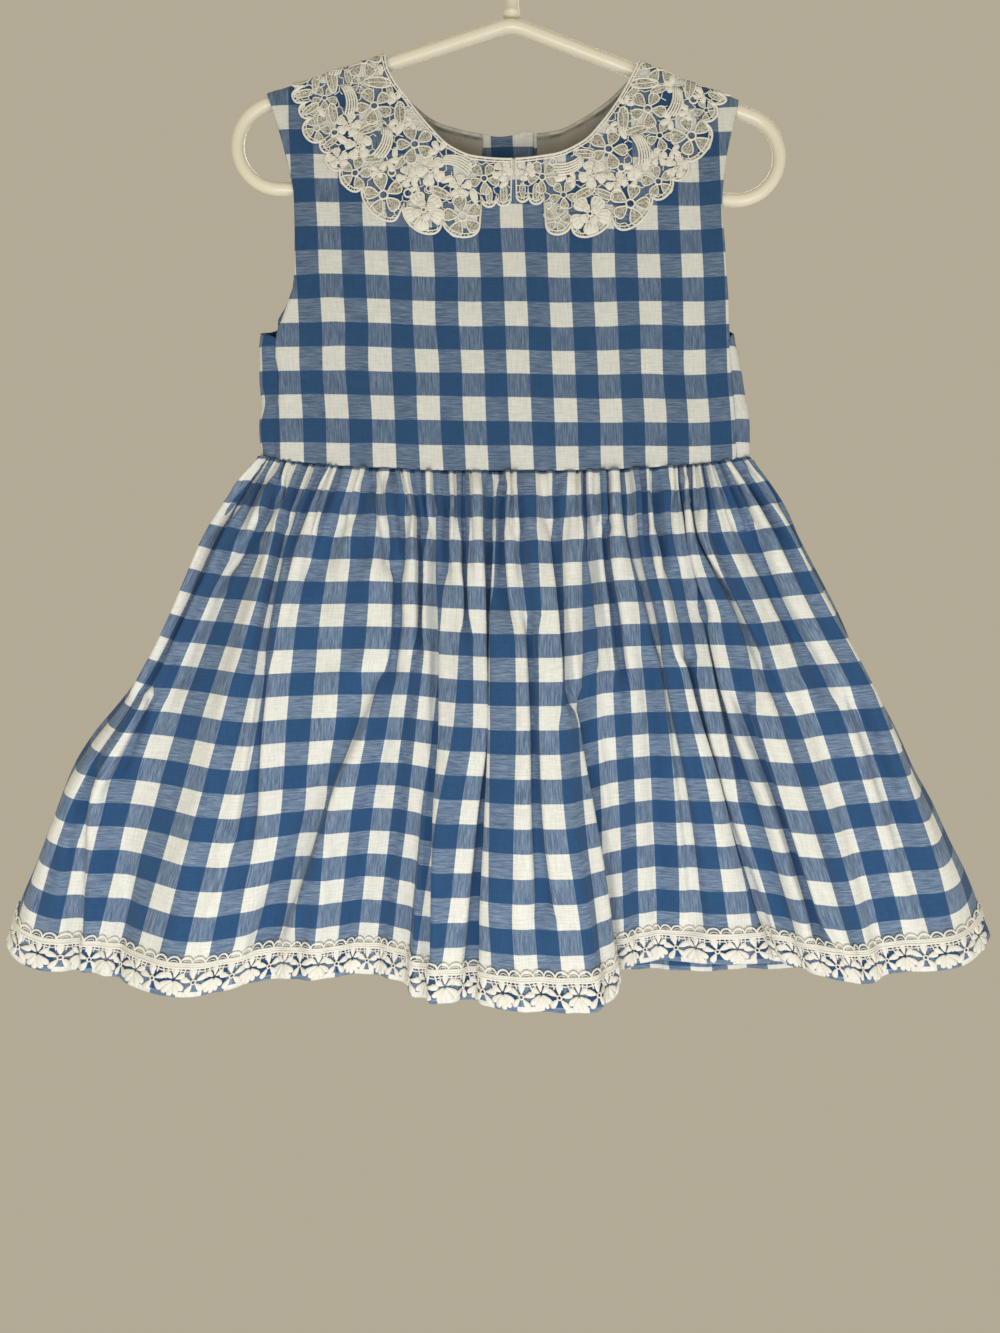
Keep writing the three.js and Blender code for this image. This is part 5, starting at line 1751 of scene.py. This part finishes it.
def button_form():
    """A four-hole button's points and faces, lying flat."""
    radius, sides = BUTTON["radius"], BUTTON["sides"]
    ring = np.array([0, 0.35, 0.7, 1.05, 1.4, 1.75, 2.1, 2.45, 2.85, 3.3, 3.7, 4.1, 4.5, 4.85,
                     5.1, radius])
    r, a = np.meshgrid(ring, around(sides), indexing="ij")
    x, y = r * np.cos(a), r * np.sin(a)
    height = 1.75 + 0.5 * smooth((r - 3.2) / 0.8) - 0.62 * smooth((r - 4.4) / 0.9) ** 2
    for hx, hy in ((1.25, 1.25), (1.25, -1.25), (-1.25, 1.25), (-1.25, -1.25)):
        height -= 1.3 * (1 - smooth((np.hypot(x - hx, y - hy) - 0.55) / 0.3))
    layers = [np.stack([x, y, height], axis=-1).reshape(-1, 3)]
    for reach, level in ((radius, 0.75), (BUTTON["foot"], 0.15)):
        layers.append(np.column_stack([circle(reach, sides), np.full(sides, level)]))
    i, j = np.arange(len(ring) + 1)[:, None] * sides, np.arange(sides)[None, :]
    k = (j + 1) % sides
    upper = faces_of(i + j, i + sides + j, i + sides + k, i + k)
    return np.concatenate(layers), [*upper, (len(ring) + 1) * sides + np.arange(sides)[::-1]]


def build_button(number):
    """A four-hole button with its thread."""
    level = BUTTON["top"] - size("button_gap") * number
    x0 = np.array([BUTTON["x"] - section(level)[0]])
    seat = bodice(x0, np.array([level]), BACK, PLACKET_SHIFT + size("cloth") / 2
                  + relief(np.array([BUTTON["x"]]), np.array([level]), BACK))[0]

    def seated(flat):
        """Flat button points, which look up, turned to look out of the dress's back."""
        return seat + np.column_stack([-flat[:, 0], flat[:, 2], flat[:, 1]])

    points, faces = button_form()
    button = plain_mesh(f"button_{number + 1}_body", seated(points), faces)
    dressed(button, "button")
    sewing = Shape()
    bend = np.linspace(0, math.pi, 9)
    for y in (1.25, -1.25):
        for aside in (-0.17, 0.17):
            path = np.column_stack([1.25 * np.cos(bend), np.full(9, y + aside),
                                    1.0 + 1.05 * np.sin(bend)])
            sewing.add(*swept(path, 0.2, 6, False, (0.0, 1.0, 0.0)))
    thread = plain_mesh(f"button_{number + 1}_thread", seated(np.concatenate(sewing.points)),
                        sewing.faces)
    dressed(thread, "sewing_thread")
    return button, thread


# ---------- operators ----------


class DressSize(bpy.types.PropertyGroup):
    """Sizes of the cloth, its gathers and its trim."""

    cloth: bpy.props.FloatProperty(
        name="Cloth", description="Thickness of the cloth",
        default=0.0006, min=0.0003, max=0.001, precision=5, unit="LENGTH")
    turning: bpy.props.FloatProperty(
        name="Turning", description="Width of the turned edges",
        default=0.006, min=0.0, max=0.012, precision=4, unit="LENGTH")
    gather_pitch: bpy.props.FloatProperty(
        name="Gathers", description="From one gather to the next at the waist, across the cut",
        default=0.0115, min=0.006, max=0.03, precision=4, unit="LENGTH")
    tuck_pitch: bpy.props.FloatProperty(
        name="Tucks", description="From one tuck to the next below the gathers",
        default=0.019, min=0.01, max=0.05, precision=4, unit="LENGTH")
    fold_pitch: bpy.props.FloatProperty(
        name="Small folds", description="From one small fold to the next further down",
        default=0.054, min=0.03, max=0.12, precision=4, unit="LENGTH")
    gather_depth: bpy.props.FloatProperty(
        name="Gather depth", description="How far the gathers stand out below the waist",
        default=0.0036, min=0.0, max=0.006, precision=4, unit="LENGTH")
    button_gap: bpy.props.FloatProperty(
        name="Button gap", description="From one button's centre to the next",
        default=0.050, min=0.015, max=0.054, precision=4, unit="LENGTH")
    hem_repeat: bpy.props.FloatProperty(
        name="Hem repeat", description="From one flower of the hem's lace to the next",
        default=0.0213, min=0.015, max=0.04, precision=4, unit="LENGTH")
    lace_cell: bpy.props.FloatProperty(
        name="Lace cell", description="Side of a cell between the collar's motifs",
        default=0.0027, min=0.002, max=0.006, precision=4, unit="LENGTH")


class DressLook(bpy.types.PropertyGroup):
    """Colours and finish of the dress, as they look in daylight."""

    threads: bpy.props.IntProperty(
        name="Threads", description="Threads to one repeat of the check", default=44)
    white: bpy.props.FloatVectorProperty(
        name="White", description="White cotton", subtype="COLOR_GAMMA", size=3,
        default=(0.86, 0.865, 0.845))
    blue: bpy.props.FloatVectorProperty(
        name="Blue", description="Blue thread", subtype="COLOR_GAMMA", size=3,
        default=(0.15, 0.30, 0.465))
    crossed: bpy.props.FloatVectorProperty(
        name="Crossed", description="White thread seen between blue ones",
        subtype="COLOR_GAMMA", size=3, default=(0.635, 0.69, 0.745))
    # The skirt's cloth is the bodice's; this gain only paints more light on it.
    skirt_painted_light_gain: bpy.props.FloatProperty(
        name="Skirt gain", description="How much paler the skirt's cloth is than the bodice's",
        default=1.07, min=0.5, max=1.15)
    facing: bpy.props.FloatVectorProperty(
        name="Facing", description="Unbleached cotton of the neck facing", subtype="COLOR_GAMMA",
        size=3, default=(0.83, 0.81, 0.76))
    lace: bpy.props.FloatVectorProperty(
        name="Lace", description="Cord of the collar's lace", subtype="COLOR_GAMMA", size=3,
        default=(0.985, 0.98, 0.94))
    net: bpy.props.FloatVectorProperty(
        name="Net", description="Net filling inside the collar's petals",
        subtype="COLOR_GAMMA", size=3, default=(0.755, 0.745, 0.685))
    hem_lace: bpy.props.FloatVectorProperty(
        name="Hem lace", description="Cord of the hem's lace", subtype="COLOR_GAMMA", size=3,
        default=(0.99, 0.985, 0.955))
    stitch: bpy.props.FloatVectorProperty(
        name="Sewing thread", description="White sewing thread", subtype="COLOR_GAMMA",
        size=3, default=(0.86, 0.85, 0.80))
    plastic: bpy.props.FloatVectorProperty(
        name="Hanger", description="White plastic", subtype="COLOR_GAMMA", size=3,
        default=(0.945, 0.925, 0.845))
    button: bpy.props.FloatVectorProperty(
        name="Button", description="Pearly white button", subtype="COLOR_GAMMA", size=3,
        default=(0.92, 0.90, 0.84))


def settle(obj, node):
    """Puts a finished piece in place of its CAD node."""
    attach(obj, "root")
    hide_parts(node)


class DRESS_OT_hanger(bpy.types.Operator):
    """Builds the tube hanger with its hook"""

    bl_idname = "dress.hanger"
    bl_label = "Hanger"

    def execute(self, context):
        for build, node in ((build_bow, "hanger_bow"), (build_hook, "hanger_hook")):
            obj = build()
            dressed(obj, "hanger_plastic")
            settle(obj, node)
        return {"FINISHED"}


class DRESS_OT_bodice(bpy.types.Operator):
    """Builds the bodice's front and its two overlapping backs"""

    bl_idname = "dress.bodice"
    bl_label = "Bodice"

    def execute(self, context):
        marks = marks_of((SHOULDER_END[LEFT], SHOULDER_END[RIGHT]), FRONT, 0, FRONT_COLUMNS)
        points, checks = bodice_grid(
            FRONT, lambda z: side_edge("front", LEFT, z), lambda z: side_edge("front", RIGHT, z),
            marks, lambda x: 0.0)
        obj = cloth_shell("bodice_front_cloth", points, checks, hemmed(edge_distance(points)),
                          away_from(FRONT))
        dressed(obj, "gingham")
        settle(obj, "bodice_front")
        for hand in HANDS:
            name = f"bodice_back_{HANDS[hand]}"
            inner = PLACKET[-hand]
            marks = marks_of(sorted((inner, SHOULDER_END[hand])), BACK, hand, BACK_COLUMNS)
            edges = [lambda z, x=inner: x - section(z)[0],
                     lambda z, h=hand: side_edge("back", h, z)]
            if hand < 0:
                edges.reverse()
            points, checks = bodice_grid(
                BACK, *edges, marks, lambda x, h=hand: placket_lift(h, x), CHECK_MOVED[hand])
            obj = cloth_shell(f"{name}_cloth", points, checks, hemmed(edge_distance(points)),
                              away_from(BACK))
            dressed(obj, "gingham")
            settle(obj, name)
        return {"FINISHED"}


class DRESS_OT_skirt(bpy.types.Operator):
    """Builds the gathered skirt's front and back"""

    bl_idname = "dress.skirt"
    bl_label = "Skirt"

    def execute(self, context):
        down = skirt_rows()
        for side in SIDES:
            name = f"skirt_{SIDES[side]}"
            points, checks = skirt_grid(side, down)
            from_hem = SKIRT_LENGTH * (1 - down)[:, None]
            thickness = hemmed(from_hem) + np.zeros(points.shape[1])
            normal = normals_of(points)
            GRIDS[side] = points, normal * np.sign(np.mean(normal[..., 1]) * side), down
            obj = cloth_shell(f"{name}_cloth", points, checks, thickness, away_from(side))
            # The skirt's gingham is lightened by the gain: painted light.
            dressed(obj, "gingham_skirt_painted_lighter")
            settle(obj, name)
        return {"FINISHED"}


class DRESS_OT_collar(bpy.types.Operator):
    """Builds the two halves of the lace collar"""

    bl_idname = "dress.collar"
    bl_label = "Lace collar"

    def execute(self, context):
        for hand, name in HANDS.items():
            collar = build_collar(hand)
            settle(collar, f"collar_{name}")
        return {"FINISHED"}


class DRESS_OT_facings(bpy.types.Operator):
    """Builds the facings inside the back neck"""

    bl_idname = "dress.facings"
    bl_label = "Neck facings"

    def execute(self, context):
        for hand, name in HANDS.items():
            facing = build_facing(hand)
            settle(facing, f"neck_facing_{name}")
        return {"FINISHED"}


class DRESS_OT_hem_lace(bpy.types.Operator):
    """Builds the lace along the hem, on the skirt's front and back"""

    bl_idname = "dress.hem_lace"
    bl_label = "Hem lace"

    def execute(self, context):
        if len(GRIDS) < 2:
            raise RuntimeError("The hem's lace lies on the skirt, which is built first")
        for side, name in SIDES.items():
            lace = build_hem_lace(side)
            settle(lace, f"hem_lace_{name}")
        return {"FINISHED"}


class DRESS_OT_buttons(bpy.types.Operator):
    """Builds the buttons down the back, with their thread"""

    bl_idname = "dress.buttons"
    bl_label = "Buttons"

    def execute(self, context):
        for number in range(BUTTON["count"]):
            button, thread = build_button(number)
            settle(button, f"button_{number + 1}")
            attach(thread, "root")
        return {"FINISHED"}


# The stage, in metres: each lamp's name, place, size, power and colour, and what they face.
LIGHTS = [
    ("key", (-0.15, -0.8, -0.78), 0.6, 4.3, (0.97, 0.98, 1.0)),
    ("fill", (0.7, -0.9, -1.0), 0.9, 4.4, (0.95, 0.98, 1.0)),
    ("rim", (0.3, 1.6, 0.8), 1.2, 10.0, (1.0, 0.97, 0.93)),
]
LIGHTS_FACE = (0, 0, -0.45)
CAMERA = {"place": (-0.00796, -0.6, -0.4202), "lens": 19.82, "film": 24}
BACKDROP = (0.45, 0.405, 0.305, 1)
FLOOR = {"radius": 420.0, "level": -1100.0, "thickness": 12.0, "sides": 72}


def build_floor():
    """A round floor, far below the dress."""
    sides = FLOOR["sides"]
    rim = np.column_stack([circle(FLOOR["radius"], sides), np.full(sides, FLOOR["level"])])
    low = rim - [0, 0, FLOOR["thickness"]]
    faces = [np.arange(sides), np.arange(2 * sides - 1, sides - 1, -1)]
    faces += [(i, i + sides, (i + 1) % sides + sides, (i + 1) % sides) for i in range(sides)]
    floor = plain_mesh("floor", np.concatenate([rim, low]), faces)
    floor.data.materials.append(floor_material())
    return floor


class DRESS_OT_stage(bpy.types.Operator):
    """Sets the camera, lights, backdrop colour and floor"""

    bl_idname = "dress.stage"
    bl_label = "Stage"

    def execute(self, context):
        scene = context.scene
        camera = bpy.data.cameras.new("camera")
        camera.sensor_fit = "VERTICAL"
        camera.sensor_height = CAMERA["film"]
        camera.lens = CAMERA["lens"]
        eye = linked("camera", camera)
        eye.location = CAMERA["place"]
        eye.rotation_euler = (math.pi / 2, 0, 0)
        scene.camera = eye
        for name, place, width, power, color in LIGHTS:
            light = bpy.data.lights.new(name, "AREA")
            light.shape = "DISK"
            light.size, light.energy, light.color = width, power, color
            lamp = linked(name, light)
            lamp.location = place
            way = Vector(LIGHTS_FACE) - lamp.location
            lamp.rotation_euler = way.to_track_quat("-Z", "Y").to_euler()
        world = bpy.data.worlds.new("studio")
        world.use_nodes = True
        background = world.node_tree.nodes["Background"]
        background.inputs["Color"].default_value = BACKDROP
        background.inputs["Strength"].default_value = 1.0
        scene.world = world
        scene.view_settings.view_transform = "Standard"
        build_floor()
        return {"FINISHED"}


class DRESS_PT_panel(bpy.types.Panel):
    """Lists the dress's build steps"""

    bl_label = "Gingham dress"
    bl_idname = "DRESS_PT_panel"
    bl_space_type = "VIEW_3D"
    bl_region_type = "UI"
    bl_category = "Dress"

    def draw(self, context):
        for group in (context.scene.dress_size, context.scene.dress_look):
            for name in group.__annotations__:
                self.layout.prop(group, name)
        for step in STEPS:
            self.layout.operator(step.bl_idname)


STEPS = (DRESS_OT_hanger, DRESS_OT_bodice, DRESS_OT_skirt, DRESS_OT_collar, DRESS_OT_facings,
         DRESS_OT_hem_lace, DRESS_OT_buttons, DRESS_OT_stage)
CLASSES = (DressSize, DressLook, *STEPS, DRESS_PT_panel)


def register():
    """Makes the settings, the operators and the panel known to Blender."""
    for cls in CLASSES:
        bpy.utils.register_class(cls)
    bpy.types.Scene.dress_size = bpy.props.PointerProperty(type=DressSize)
    bpy.types.Scene.dress_look = bpy.props.PointerProperty(type=DressLook)


def unregister():
    """Takes them away again."""
    del bpy.types.Scene.dress_size
    del bpy.types.Scene.dress_look
    for cls in reversed(CLASSES):
        bpy.utils.unregister_class(cls)


def main():
    """Builds the dress step by step."""
    register()
    for step in STEPS:
        group, action = step.bl_idname.split(".")
        getattr(getattr(bpy.ops, group), action)()


if __name__ == "__main__":
    main()
